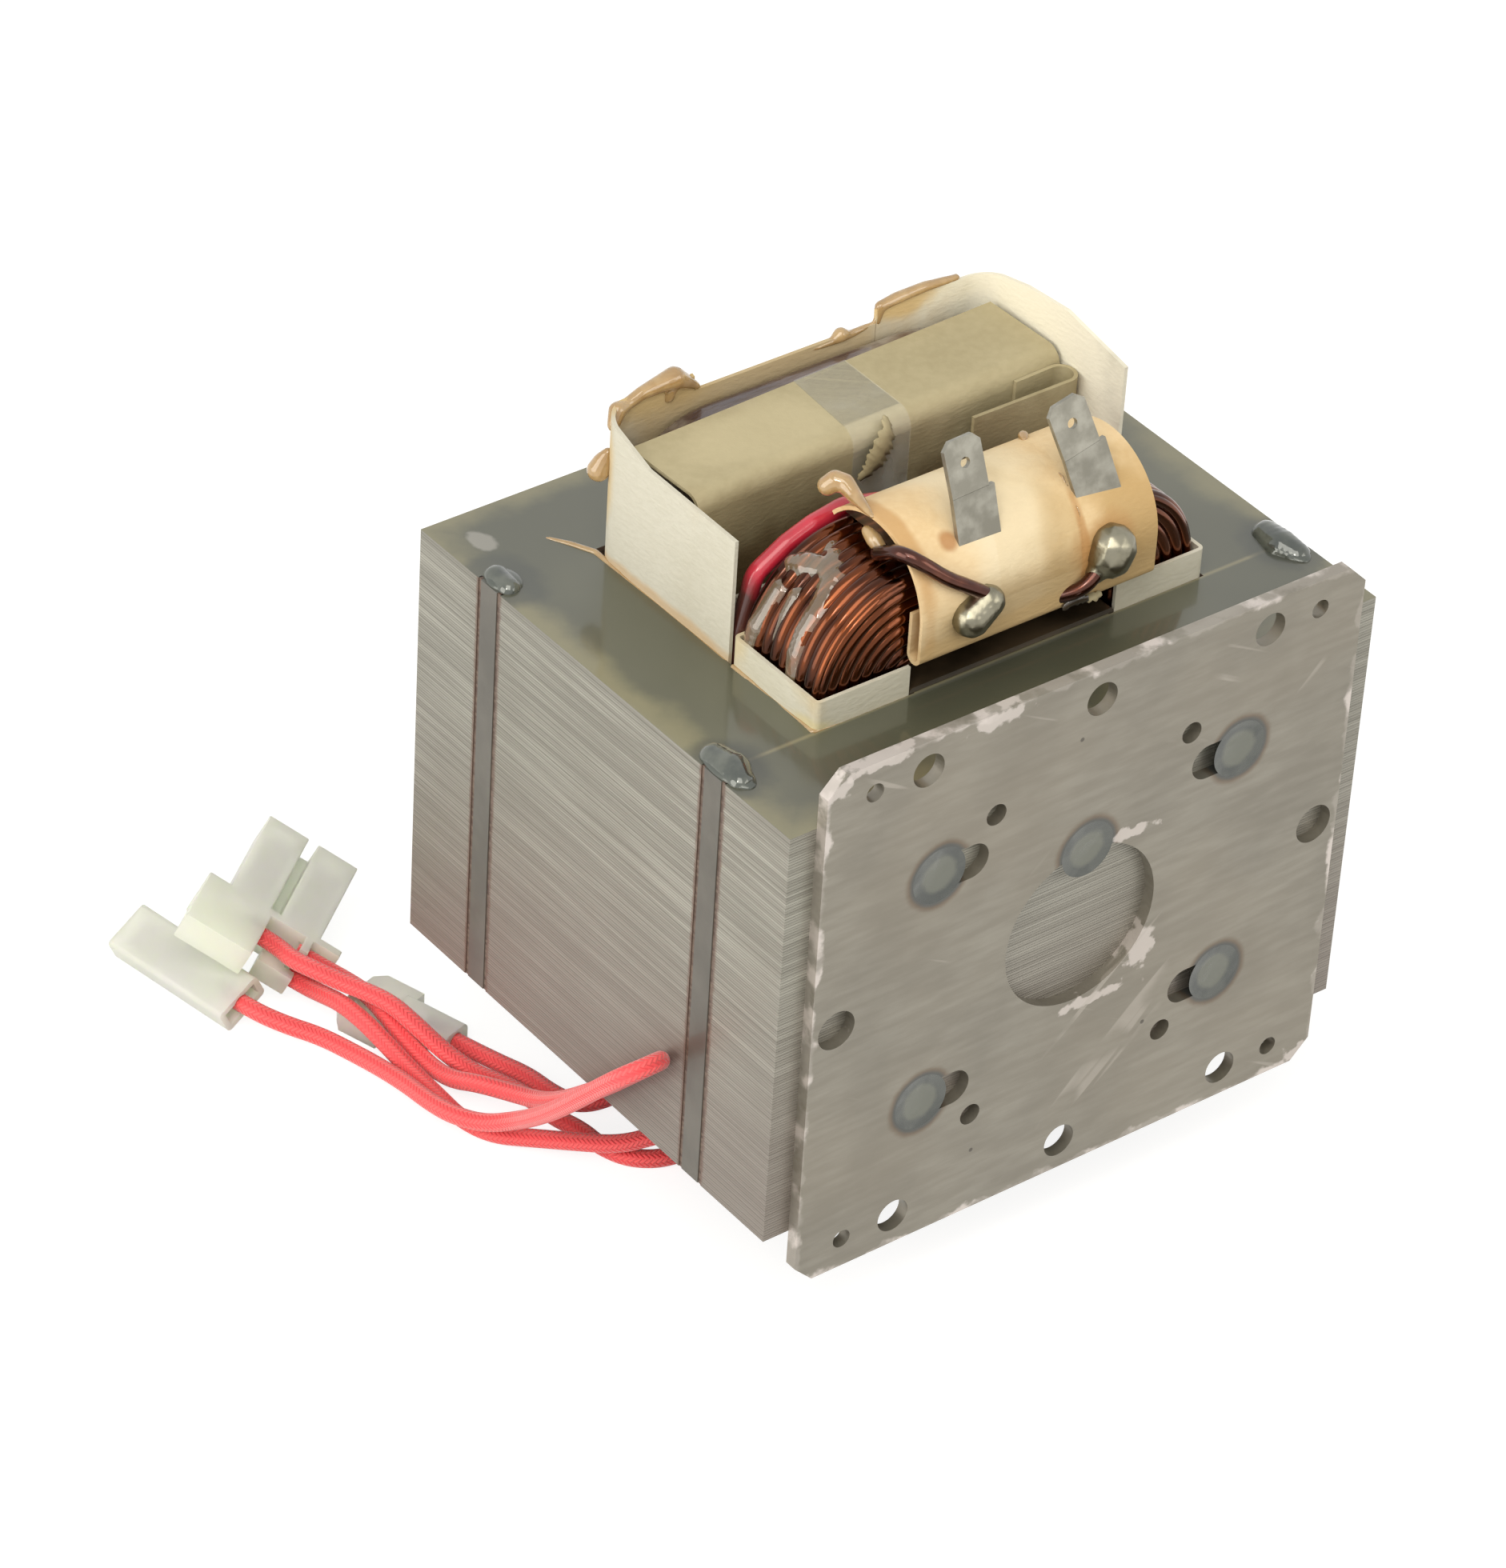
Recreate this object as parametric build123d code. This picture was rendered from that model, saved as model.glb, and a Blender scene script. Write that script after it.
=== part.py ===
from build123d import *
import math
import os

os.makedirs("parts", exist_ok=True)

# Frame: +X to the right along the base plate, +Y from the plate into the core, +Z up along
# the stack of sheets. The origin is on the floor, under the middle of the box round the object
# without its leads. The object stands on the lower ends of its two coils. All lengths in mm.

# Core: EI sheets cut without waste, so every size follows the width of an outer leg.
leg_width = 17.5
core_width = 6 * leg_width
core_depth = 5 * leg_width
sheet_pitch = 0.463
sheet_count = 154
stack_height = sheet_count * sheet_pitch

# Base plate, punched from sheet and plug-welded to the I side of the core.
plate_thickness = 2.0
plate_width = 96.0
plate_height = 89.4
plate_corner_cut = 3.2
mount_hole_diameter = 5.4
mount_hole_x = 30.54
mount_hole_z = 39.6
side_hole_diameter = 6.4
side_hole_x = 43.58
small_hole_diameter = 3.0
small_hole_x = 39.8
inner_hole_diameter = 3.5
inner_hole_x = 17.6
inner_hole_z = 26.75
slot_x = 24.2
slot_z = 20.2
slot_length = 11.6
slot_width = 5.8
window_hole_diameter = 27.0

# Weld beads across the sheets and weld puddles on the plate.
groove_radius = 2.6
bead_radius = 2.0
rear_bead_depth = 4 * leg_width + 0.6
front_bead_spread = 2.15
rear_bead_spread = 1.2
puddle_radius = 4.6
puddle_depth = 0.9
puddle_dish = 0.3

# Insulation sheets and fits.
paper = 0.6
tape = 0.2
window_fit = 0.1
coil_fit = 0.1
sleeve_wall = 0.8
paper_overhang = 4.8

# Primary coil of thick enamelled wire.
wire_layers = 8
wire_slack = 0.2
wire_diameter = (leg_width - sleeve_wall - paper - 2 * coil_fit
                 - window_fit - wire_slack) / wire_layers
wire_turns = 9
wire_bulge = 0.5
primary_start = leg_width + 1.2
crown_lift = 3.35
primary_drop = 0.7

# Filament turn, secondary coil and the shunts between them.
lead_diameter = 2.8
primary_end = primary_start + wire_turns * wire_diameter
filament_depth = primary_end + 2.15
shunt_start = filament_depth + 3.8
shunt_thickness = 4.6
secondary_start = shunt_start + 9.8
secondary_end = 4 * leg_width - 1.4
secondary_build = leg_width - 2.7

# Paper crown over the secondary and its loose end.
crown_front = secondary_start - 2.2
crown_back = secondary_end - 3.4
crown_skew = 2.2
crown_fold_radius = 2.5
tape_drop = 12.0
curl_height = 14.0
curl_length = 20.0
curl_radius = 2.2

# Paper fences round the secondary.
fence_front = primary_end + 1.35
fence_right_end = leg_width - 3.4
fence_left_shoulder = leg_width + 1.1
fence_middle_rise = 21.8
fence_corner_radius = 4.0
fence_left_rise = 20.2
fence_left_back_rise = 25.0
fence_right_rise = 24.4
fence_right_peak_rise = 27.0
fence_right_back_rise = 23.6

# Terminal pad, blade tabs and solder joints above the primary.
pad_radius = 12.0
pad_depth = primary_start + wire_turns * wire_diameter / 2 - 0.175
pad_sink = 6.6
pad_left = -18.9
pad_rear_angle = 40
pad_right = 23.2
pad_skirt = 5.2
pad_fold_radius = 1.45
pad_inner_flap = 6.5
tab_thickness = 0.8
blade_width = 6.35
blade_length = 8.2
blade_chamfer = 1.2
blade_hole_diameter = 1.6
blade_hole_from_tip = 3.7
blade_lean = 19.0
foot_width = 7.3
foot_length = 7.2
foot_lean = 14.0
tab_angle = 133
left_tab_x = -6.6
right_tab_x = 14.6
left_tab_tilt = 3.0
right_tab_tilt = 14.0
solder_radius = 3.0
solder_sink = 0.9
left_solder_x = -10.2
left_solder_rise = 0.5
right_solder_x = 13.7
right_solder_rise = 1.7
left_tail_angle = 179
right_tail_angle = 173
tail_width = 3.0

# Red braided leads. The jumper is laid as a hairpin, which the braid takes in a tight turn.
lead_fit = 0.3

# Nylon housings on the leads: one for two blades, two flat ones for a single blade.
housing_wall = 1.0
way_width = 7.0
way_gap = 1.7
way_length = 18.4
way_thickness = 6.6
flange_width = 23.3
flange_thickness = 1.3
wall_outer = 7.2
flange_height = 8.0
side_block_length = 11.0
receptacle_width = 4.4
receptacle_height = 1.8
receptacle_length = 12.0
receptacle_fit = 0.1
flat_length = 24.6
flat_width = 8.4
flat_thickness = 4.6
tongue_width = 12.0
tongue_length = 8.6
tongue_thickness = 3.2
boot_width = 5.6
boot_height = 4.3
boot_offset = 1.0
side_block_height = 5.0
boot_length = 10.0

# Places worked out from the sizes above.
total_depth = core_depth + plate_thickness
core_front = -total_depth / 2 + plate_thickness
sleeve_outer_x = leg_width + coil_fit + sleeve_wall
sleeve_outer_z = stack_height / 2 + coil_fit + sleeve_wall
coil_top = 2 * (sleeve_outer_z + crown_lift + wire_layers * wire_diameter)
core_middle = coil_top / 2 + primary_drop
core_top = core_middle + stack_height / 2
core_bottom = core_middle - stack_height / 2
window_inner = leg_width
window_outer = 2 * leg_width
window_front = core_front + leg_width
window_back = core_front + 4 * leg_width
pad_height = coil_top - core_top - pad_sink


def depth(distance):
    """Y of a point that lies this far behind the core's front face."""
    return core_front + distance


def block(x0, x1, y0, y1, z0, z1):
    """Solid box between two opposite corners."""
    middle = ((x0 + x1) / 2, (y0 + y1) / 2, (z0 + z1) / 2)
    return Pos(*middle) * Box(x1 - x0, y1 - y0, z1 - z0)


def along_y(sketch, y0, y1):
    """Push a sketch drawn in X and Z through from y0 to y1."""
    face = Plane((0, y0, 0), x_dir=(1, 0, 0), z_dir=(0, -1, 0)) * sketch
    return extrude(face, amount=y1 - y0, dir=(0, 1, 0))


def mirrored(shape):
    """The same shape on the other side of the middle plane X = 0."""
    return mirror(shape, about=Plane.YZ)


def bar_between(start, end, diameter):
    """Straight round bar from one point to another."""
    direction = Vector(*end) - Vector(*start)
    plane = Plane(origin=start, z_dir=direction)
    return extrude(plane * Circle(diameter / 2), amount=direction.length)


# Weld grooves run the full height of the stack, at the E/I seam and near the back yoke.
def weld_line_places():
    return [
        (side * core_width / 2, depth(d))
        for side in (-1, 1)
        for d in (leg_width, rear_bead_depth)
    ]


def weld_grooves():
    grooves = []
    for x, y in weld_line_places():
        groove = Pos(x, y, core_middle) * Cylinder(groove_radius, stack_height)
        grooves.append(groove)
    return grooves


def e_laminations():
    outer = block(-core_width / 2, core_width / 2, window_front, depth(core_depth),
                  core_bottom, core_top)
    for side in (-1, 1):
        near, far = sorted((side * window_inner, side * window_outer))
        outer -= block(near, far, window_front, window_back, core_bottom, core_top)
    for groove in weld_grooves():
        outer -= groove
    return outer


def i_laminations():
    bar = block(-core_width / 2, core_width / 2, core_front, window_front,
                core_bottom, core_top)
    for groove in weld_grooves():
        bar -= groove
    return bar


def seam_weld(x, y, spread):
    """Bead laid in one groove, with the puddle where the torch left it at the top."""
    side = math.copysign(1, x)
    bead = Pos(x - side * (groove_radius - bead_radius), y, core_middle)
    bead = bead * Cylinder(bead_radius, stack_height)
    shell = block(*sorted((x, x - side * 2 * groove_radius)), y - groove_radius,
                  y + groove_radius, core_bottom, core_top)
    groove = Pos(x, y, core_middle) * Cylinder(groove_radius, stack_height)
    bead = bead & shell & groove
    puddle_middle = Pos(x - side * groove_radius, y, core_top)
    puddle = puddle_middle * scale(Sphere(groove_radius), (0.95, spread, 0.4))
    puddle -= block(-core_width, core_width, y - 9, y + 9, core_bottom, core_top)
    return bead + puddle


# Weld puddles of the plate, each at a slot's outer end or on the edge of the large hole.
def puddle_places():
    outer_end = slot_x + (slot_length - slot_width) / 2
    places = [(sx * outer_end, sz * slot_z) for sx in (-1, 1) for sz in (-1, 1)]
    return places + [(0, window_hole_diameter / 2)]


def puddle_bite(x, z):
    """Shallow cone that the weld has melted into the plate's face."""
    cone = Cone(puddle_radius - puddle_depth, puddle_radius, puddle_depth)
    middle = core_front - plate_thickness + puddle_depth / 2
    return Pos(x, middle, core_middle + z) * Rot(90, 0, 0) * cone


# Plate with its holes, all square to the sheet.
def hole_at(diameter, x, z):
    return Pos(x, z) * Circle(diameter / 2)


def base_plate():
    outline = Rectangle(plate_width, plate_height)
    outline = chamfer(outline.vertices(), plate_corner_cut)
    holes = [Circle(window_hole_diameter / 2)]
    holes += [hole_at(mount_hole_diameter, 0, s * mount_hole_z) for s in (-1, 1)]
    holes += [hole_at(side_hole_diameter, s * side_hole_x, 0) for s in (-1, 1)]
    for sx in (-1, 1):
        for sz in (-1, 1):
            holes.append(hole_at(mount_hole_diameter, sx * mount_hole_x, sz * mount_hole_z))
            holes.append(hole_at(small_hole_diameter, sx * small_hole_x, sz * mount_hole_z))
            holes.append(hole_at(inner_hole_diameter, sx * inner_hole_x, sz * inner_hole_z))
            slot = SlotOverall(slot_length, slot_width)
            holes.append(Pos(sx * slot_x, sz * slot_z) * slot)
    for hole in holes:
        outline -= hole
    plate = Pos(0, 0, core_middle) * along_y(outline, core_front - plate_thickness, core_front)
    for x, z in puddle_places():
        plate -= puddle_bite(x, z)
    return plate


def plug_welds(plate):
    """Weld puddles: each fills its slot end or hole edge, bites into the plate and sets
    dished, so that nothing stands proud of the mounting face."""
    face = core_front - plate_thickness
    dish_radius = (puddle_radius ** 2 + puddle_dish ** 2) / (2 * puddle_dish)
    welds = []
    for x, z in puddle_places():
        place = Pos(x, face, core_middle + z)
        root = place * along_y(Circle(slot_width / 2), 0, plate_thickness)
        dish = place * Pos(0, puddle_dish - dish_radius, 0) * Sphere(dish_radius)
        welds.append((puddle_bite(x, z) + root) - plate - dish)
    return welds


# Insulation.
def leg_sleeve():
    outer = Rectangle(2 * sleeve_outer_x, 2 * sleeve_outer_z)
    outer = fillet(outer.vertices(), sleeve_wall)
    inner = Rectangle(2 * (leg_width + coil_fit), stack_height + 2 * coil_fit)
    length = (window_front + window_fit, window_back - window_fit)
    return Pos(0, 0, core_middle) * along_y(outer - inner, *length)


def paper_wall(points, corner_radius, z0, z1):
    """Standing paper sheet that follows a bent line in plan."""
    line = FilletPolyline(*points, radius=corner_radius)
    strip = trace(line, line_width=paper)
    return extrude(Pos(0, 0, z0) * strip, amount=z1 - z0)


def primary_liner():
    """Paper trough of the left window: wall before, beside and behind the primary."""
    middle = paper / 2 + window_fit
    x_side = -window_outer + middle
    y_front = window_front + middle
    y_back = depth(primary_start + wire_turns * wire_diameter) + middle
    points = [(-sleeve_outer_x - window_fit, y_front), (x_side, y_front), (x_side, y_back),
              (-sleeve_outer_x - 5 * wire_diameter, y_back)]
    return paper_wall(points, 0.7, core_bottom - paper_overhang, core_top + paper_overhang)


def fence(side):
    """Tall paper wall beside the secondary, turned in behind it; side is -1 or 1."""
    middle = paper / 2 + window_fit
    x_side = side * (window_outer - middle)
    y_back = window_back - middle
    back_end = -fence_right_end + window_fit if side < 0 else fence_right_end
    points = [(x_side, depth(fence_front)), (x_side, y_back), (side * back_end, y_back)]
    highest = core_top + 2 * leg_width
    wall = paper_wall(points, fence_corner_radius, core_bottom - paper_overhang, highest)
    y_front = depth(fence_front) - 1
    if side < 0:
        edge = [(y_front, fence_left_rise), (depth(fence_front + 20.4), fence_left_rise + 0.4),
                (y_back + 2, fence_left_back_rise)]
    else:
        edge = [(y_front, fence_right_rise), (depth(fence_front + 13.4), fence_right_peak_rise),
                (depth(fence_front + 22.4), fence_right_peak_rise - 0.8), (y_back + 2, fence_right_back_rise)]
    cut = [(y, core_top + rise) for y, rise in edge]
    cut += [(y_back + 2, highest + 1), (y_front, highest + 1)]
    knife = Plane.YZ * Polygon(*cut, align=None)
    wall -= extrude(knife, amount=core_width / 2, both=True)
    if side < 0:
        wall -= block(-fence_left_shoulder, core_width, y_back - 2, y_back + 2,
                      core_top + fence_middle_rise, highest)
    reach = sleeve_outer_x + window_fit
    return wall - block(-reach, reach, y_back - 2, y_back + 2, 0,
                        core_middle + sleeve_outer_z + window_fit)


# Coils are closed rings round the middle leg; the ring lies in X and Z.
def primary_section(x):
    """Cut through the coil's upper run: turns across the top, layers down the front."""
    inner = core_middle + sleeve_outer_z + crown_lift
    outer = inner + wire_layers * wire_diameter
    front = depth(primary_start)
    back = front + wire_turns * wire_diameter
    valley_front = front + wire_bulge
    valley_outer = outer - wire_bulge
    edges = []
    height = inner
    for _ in range(wire_layers):
        top = min(height + wire_diameter, valley_outer)
        edges.append(ThreePointArc((x, valley_front, height),
                                   (x, front, (height + top) / 2), (x, valley_front, top)))
        height = top
    start = valley_front
    for number in range(wire_turns):
        end = front + (number + 1) * wire_diameter
        edges.append(ThreePointArc((x, start, valley_outer),
                                   (x, (start + end) / 2, outer), (x, end, valley_outer)))
        start = end
    edges.append(Line((x, back, valley_outer), (x, back, inner)))
    edges.append(Line((x, back, inner), (x, valley_front, inner)))
    return make_face(Wire(edges))


def primary_winding():
    """One quarter of the racetrack is swept, then mirrored left to right and top to bottom."""
    corner_x = sleeve_outer_x + coil_fit - 1.0
    corner_z = core_middle + sleeve_outer_z + crown_lift - 1.0
    run = extrude(primary_section(0), amount=corner_x, dir=(1, 0, 0))
    bend_axis = Axis((corner_x, 0, corner_z), (0, 1, 0))
    bend = revolve(primary_section(corner_x), axis=bend_axis, revolution_arc=90)
    side_face = bend.faces().sort_by(Axis.Z)[0]
    side = extrude(side_face, amount=corner_z - core_middle, dir=(0, 0, -1))
    half = run + bend + side
    half = half + mirrored(half)
    coil = half + mirror(half, about=Plane.XY.offset(core_middle))
    return Pos(0, 0, coil_top / 2 - core_middle) * coil


def ring(half_x, half_z, build, corner, y0, y1):
    """Plain coil: rounded ring outside the given inner half sizes."""
    outer = RectangleRounded(2 * (half_x + build), 2 * (half_z + build), corner + build)
    inner = RectangleRounded(2 * half_x, 2 * half_z, corner)
    return Pos(0, 0, core_middle) * along_y(outer - inner, y0, y1)


def secondary_winding():
    half_x = sleeve_outer_x + coil_fit
    half_z = core_middle - paper - secondary_build
    coil = ring(half_x, half_z, secondary_build, 1.5, depth(secondary_start),
                depth(secondary_end))
    rim = [e for e in coil.edges().filter_by(GeomType.CIRCLE) if e.radius > 10]
    rim += [e for e in coil.edges().filter_by(GeomType.LINE)
            if e.center().X ** 2 > 30 ** 2 or abs(e.center().Z - core_middle) > 50]
    return fillet(rim, 1.2)


def filament_winding():
    """One thick turn of insulated lead behind the primary; it sags behind the pad."""
    radius = lead_diameter / 2
    side = window_outer - window_fit - paper - 0.2 - radius
    low = radius + 0.9
    top = core_top + 18.6
    corners = [(-side, low + 18), (1.5 - side, low + 9), (5.5 - side, low + 4),
               (11 - side, low + 1), (-14, low), (14, low), (side - 11, low + 1),
               (side - 5.5, low + 4), (side - 1.5, low + 9), (side, low + 18),
               (side, core_top - 4), (side - 3, core_top + 8), (side - 9, core_top + 13.6),
               (14, core_top + 16.1), (-6, core_top + 16.3), (-15.4, top),
               (12 - side, top - 1.0), (7.6 - side, top - 2.6), (2.2 - side, top - 5.8),
               (-side, core_top + 4)]
    plan = Plane((0, depth(filament_depth), 0), x_dir=(1, 0, 0), z_dir=(0, -1, 0))
    path = plan * FilletPolyline(*corners, radius=3, close=True)
    wire = path.wires()[0]
    section = Plane(origin=wire @ 0, z_dir=wire % 0) * Circle(radius)
    return sweep(section, path=wire)


def shunt():
    """Right shunt: it fills the window between the leg sleeve and the fence."""
    inner = sleeve_outer_x + window_fit + paper
    outer = window_outer - 2 * window_fit - 2 * paper
    return block(inner, outer, depth(shunt_start), depth(shunt_start + shunt_thickness),
                 core_bottom, core_top)


def shunt_wrap(core):
    box = core.bounding_box()
    grown = block(box.min.X - paper, box.max.X + paper, box.min.Y - paper, box.max.Y + paper,
                  core_bottom - paper_overhang / 2, core_top + paper_overhang / 2)
    hollow = block(box.min.X, box.max.X, box.min.Y, box.max.Y, core_bottom - paper_overhang,
                   core_top + paper_overhang)
    return grown - hollow


def secondary_wrap(side):
    """Bent paper over one end of the secondary: side 1 is the upper end, -1 the lower."""
    limit = core_middle - paper
    front = depth(crown_front)
    back = depth(crown_back)
    foot = stack_height / 2 + 1.0
    line = FilletPolyline((front, foot), (front, limit + paper / 2), (back, limit + paper / 2),
                          radius=crown_fold_radius)
    strip = trace(line, line_width=paper)
    if side < 0:
        strip = mirror(strip, about=Plane.XZ)
    sheet = extrude(Plane.YZ * strip, amount=window_outer - 1.6, both=True)
    return Pos(0, 0, core_middle) * sheet


def paper_curl():
    """Loose end of the crown paper: flat on its front, round a bend and back to the left."""
    outer_face = depth(crown_front) - paper
    inner_face = outer_face - 2 * curl_radius
    bend_x = window_outer - paper - 0.9
    points = [(bend_x - 9, outer_face), (bend_x, outer_face), (bend_x, inner_face),
              (bend_x - curl_length, inner_face + 0.8)]
    top = 2 * core_middle - 1.9
    return paper_wall(points, 0.96 * curl_radius, top - curl_height, top)


def skewed(shape):
    """Turn a piece with the crown, which sits slightly askew on the coil."""
    middle = (crown_front + crown_back) / 2
    return Pos(0, depth(middle)) * Rot(0, 0, crown_skew) * Pos(0, -depth(middle)) * shape


def crown_tape():
    """Clear tape laid over the crown from its back edge and down its front."""
    offset = (paper + tape) / 2
    front = depth(crown_front) - offset
    back = depth(crown_back)
    top = core_middle - paper / 2 + offset
    line = FilletPolyline((front, top - tape_drop), (front, top), (back, top),
                          radius=crown_fold_radius + offset)
    band = extrude(Plane.YZ * trace(line, line_width=tape), amount=window_outer, both=True)
    cut = [(-5.6, front - 1), (5.0, front - 1), (5.8, back + 1), (-3.6, back + 1)]
    return Pos(0, 0, core_middle) * (band & extrude(Polygon(*cut, align=None), amount=core_top))


# The terminal pad is a roll of paper along X. Its section is drawn in Y and Z round its middle.
def pad_place(x):
    """Plane across the pad: local X runs along +Y, local Y runs up."""
    return Plane((x, depth(pad_depth), core_top + pad_height), x_dir=(0, 1, 0), z_dir=(1, 0, 0))


def pad_point(radius, angle):
    turn = math.radians(angle)
    return (radius * math.cos(turn), radius * math.sin(turn))


def pad_band(inner, outer, start, end):
    """Part of a ring between two angles, measured from the back over the top."""
    edges = [CenterArc((0, 0), outer, start, end - start),
             CenterArc((0, 0), inner, start, end - start),
             Line(pad_point(inner, start), pad_point(outer, start)),
             Line(pad_point(inner, end), pad_point(outer, end))]
    return make_face(Wire.combine(edges)[0])


def terminal_pad():
    inner = pad_radius - paper
    turn_x = -pad_radius + pad_fold_radius
    turn_inner = pad_fold_radius - paper
    flap_top = pad_inner_flap - pad_skirt
    section = pad_band(inner, pad_radius, pad_rear_angle, 180)
    section += Pos((-pad_radius - inner) / 2, -pad_skirt / 2) * Rectangle(paper, pad_skirt)
    fold = Circle(pad_fold_radius) - Circle(turn_inner)
    fold -= Pos(0, pad_fold_radius) * Rectangle(4 * pad_fold_radius, 2 * pad_fold_radius)
    section += Pos(turn_x, -pad_skirt) * fold
    flap = Pos(turn_x + pad_fold_radius - paper / 2, (flap_top - pad_skirt) / 2)
    section += flap * Rectangle(paper, pad_inner_flap)
    return extrude(pad_place(pad_left) * section, amount=pad_right - pad_left)


def pad_filler():
    """Inner turns of the paper roll, flat where they lie on the coil."""
    floor = coil_top - core_top - pad_height
    section = Circle(pad_radius - paper) - Pos(0, floor - pad_radius) * Rectangle(
        3 * pad_radius, 2 * pad_radius)
    return extrude(pad_place(pad_left + 2.5) * section, amount=pad_right - pad_left - 3.5)


def tab_base(angle):
    y, z = pad_point(pad_radius - paper / 2, angle)
    return (depth(pad_depth) + y, core_top + pad_height + z)


def blade_tab(x, tilt, tail_angle):
    """Blade with hole and shoulder on a leaning foot; the narrow tail runs inside the pad."""
    foot = block(-foot_width / 2, foot_width / 2, -tab_thickness / 2, tab_thickness / 2,
                 -1.4, foot_length)
    blade = Pos(0, blade_length / 2) * Rectangle(blade_width, blade_length)
    blade = chamfer(blade.vertices().group_by(Axis.Y)[-1], blade_chamfer)
    blade -= hole_at(blade_hole_diameter, 0, blade_length - blade_hole_from_tip)
    blade = along_y(blade, -tab_thickness / 2, tab_thickness / 2)
    blade = Pos((blade_width - foot_width) / 2, 0, foot_length) * Rot(
        foot_lean - blade_lean, 0, 0) * blade
    y, z = tab_base(tab_angle)
    upper = Pos(x, y, z) * Rot(0, -tilt, 0) * Rot(-foot_lean, 0, 0) * (foot + blade)
    tail_x = x - foot_width / 2
    strip = pad_band(pad_radius - paper - tab_thickness, pad_radius - paper, tab_angle - 3,
                     tail_angle)
    tail = extrude(pad_place(tail_x) * strip, amount=tail_width)
    end = pad_band(pad_radius - paper - tab_thickness, pad_radius + 1.2, tail_angle - 4,
                   tail_angle)
    tail += extrude(pad_place(tail_x) * end, amount=tail_width)
    return upper + tail


def solder(x, height):
    """Bead of solder on the tail and the copper lead, against the pad's front."""
    front = depth(pad_depth) - pad_radius
    bead = Pos(x, front + solder_sink, core_top + pad_height + height) * Sphere(solder_radius)
    return bead & block(-core_width, core_width, front - 9, front - 0.02, core_bottom, 2 * core_top)


def left_copper_route():
    front = depth(pad_depth) - pad_radius
    return [(-20.4, front + 10.15, coil_top + 1.1), (-20.2, front + 7.35, coil_top + 1.7),
            (-19.9, front + 4.55, coil_top + 4.3), (-14.5, front + 0.9, coil_top + 0.9),
            (left_solder_x - 0.2, front - 1.65, coil_top - 4.0)]


def right_copper_route():
    front = depth(pad_depth) - pad_radius
    return [(5.0, front + 2.25, core_top + 3.05), (6.6, front + 0.95, core_top + 3.35),
            (8.0, front - 1.25, core_top + 5.95), (10.2, front - 1.35, core_top + 10.55),
            (right_solder_x - 0.5, front - 1.65, core_top + 13.35)]


def copper_lead(points):
    line = FilletPolyline(*points, radius=1.6)
    start = Plane(origin=line @ 0, z_dir=line % 0)
    return sweep(start * Circle(wire_diameter / 2), path=line)


# Leads: round braided cords along a bent line.
def cord_line(points):
    """Bend each corner of the route as wide as its shorter run allows."""
    corners = [Vector(*p) for p in points]
    radii = []
    for before, here, after in zip(corners, corners[1:], corners[2:]):
        first = here - before
        second = after - here
        half = math.radians(first.get_angle(second)) / 2
        radii.append(0.45 * min(first.length, second.length) / math.tan(half))
    return FilletPolyline(*points, radius=radii), min(radii)


def cord(points):
    line, tightest = cord_line(points)
    section = Plane(origin=line @ 0, z_dir=line % 0) * Circle(lead_diameter / 2)
    tube = sweep(section, path=line)
    length = line.length
    share = tube.volume / (math.pi * lead_diameter ** 2 / 4 * length)
    print(f"cord length {length:.1f} tightest {tightest:.1f} volume share {share:.3f}")
    return tube


filament_lead_low_route = [
    (-24.6, -3.2, 1.5), (-29.6, -3.1, 1.5), (-35.0, -2.8, 1.5), (-39.8, -2.0, 1.5),
    (-43.4, 0.8, 1.5), (-45.2, 5.1, 1.5), (-45.4, 9.9, 1.5), (-47.0, 14.5, 1.5),
    (-47.2, 19.5, 1.5), (-48.6, 24.3, 1.5), (-51.0, 29.3, 1.6), (-53.2, 34.1, 3.4),
    (-55.1, 38.9, 6.2), (-56.4, 43.7, 7.8), (-58.3, 48.5, 7.9), (-60.2, 52.1, 8.1),
    (-62.3, 55.5, 8.9), (-63.65, 59.2, 8.9), (-63.75, 63.2, 9.0), (-66.05, 66.15, 10.8),
]
filament_lead_high_route = [
    (-33.3, -4.2, 8.3), (-37.2, -3.6, 7.6), (-41.2, -1.9, 6.4), (-45.4, 0.8, 4.9), (-49.4, 5.6, 4.0),
    (-53.4, 11.6, 2.4), (-57.0, 16.2, 1.5), (-58.8, 21.8, 1.5), (-58.6, 27.9, 1.5),
    (-58.7, 34.1, 1.7), (-59.4, 39.3, 3.3), (-60.2, 44.7, 5.0), (-60.5, 50.7, 4.9),
    (-60.6, 55.5, 3.4), (-61.2, 59.3, 2.7), (-63.1, 61.7, 4.2),
]
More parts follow.
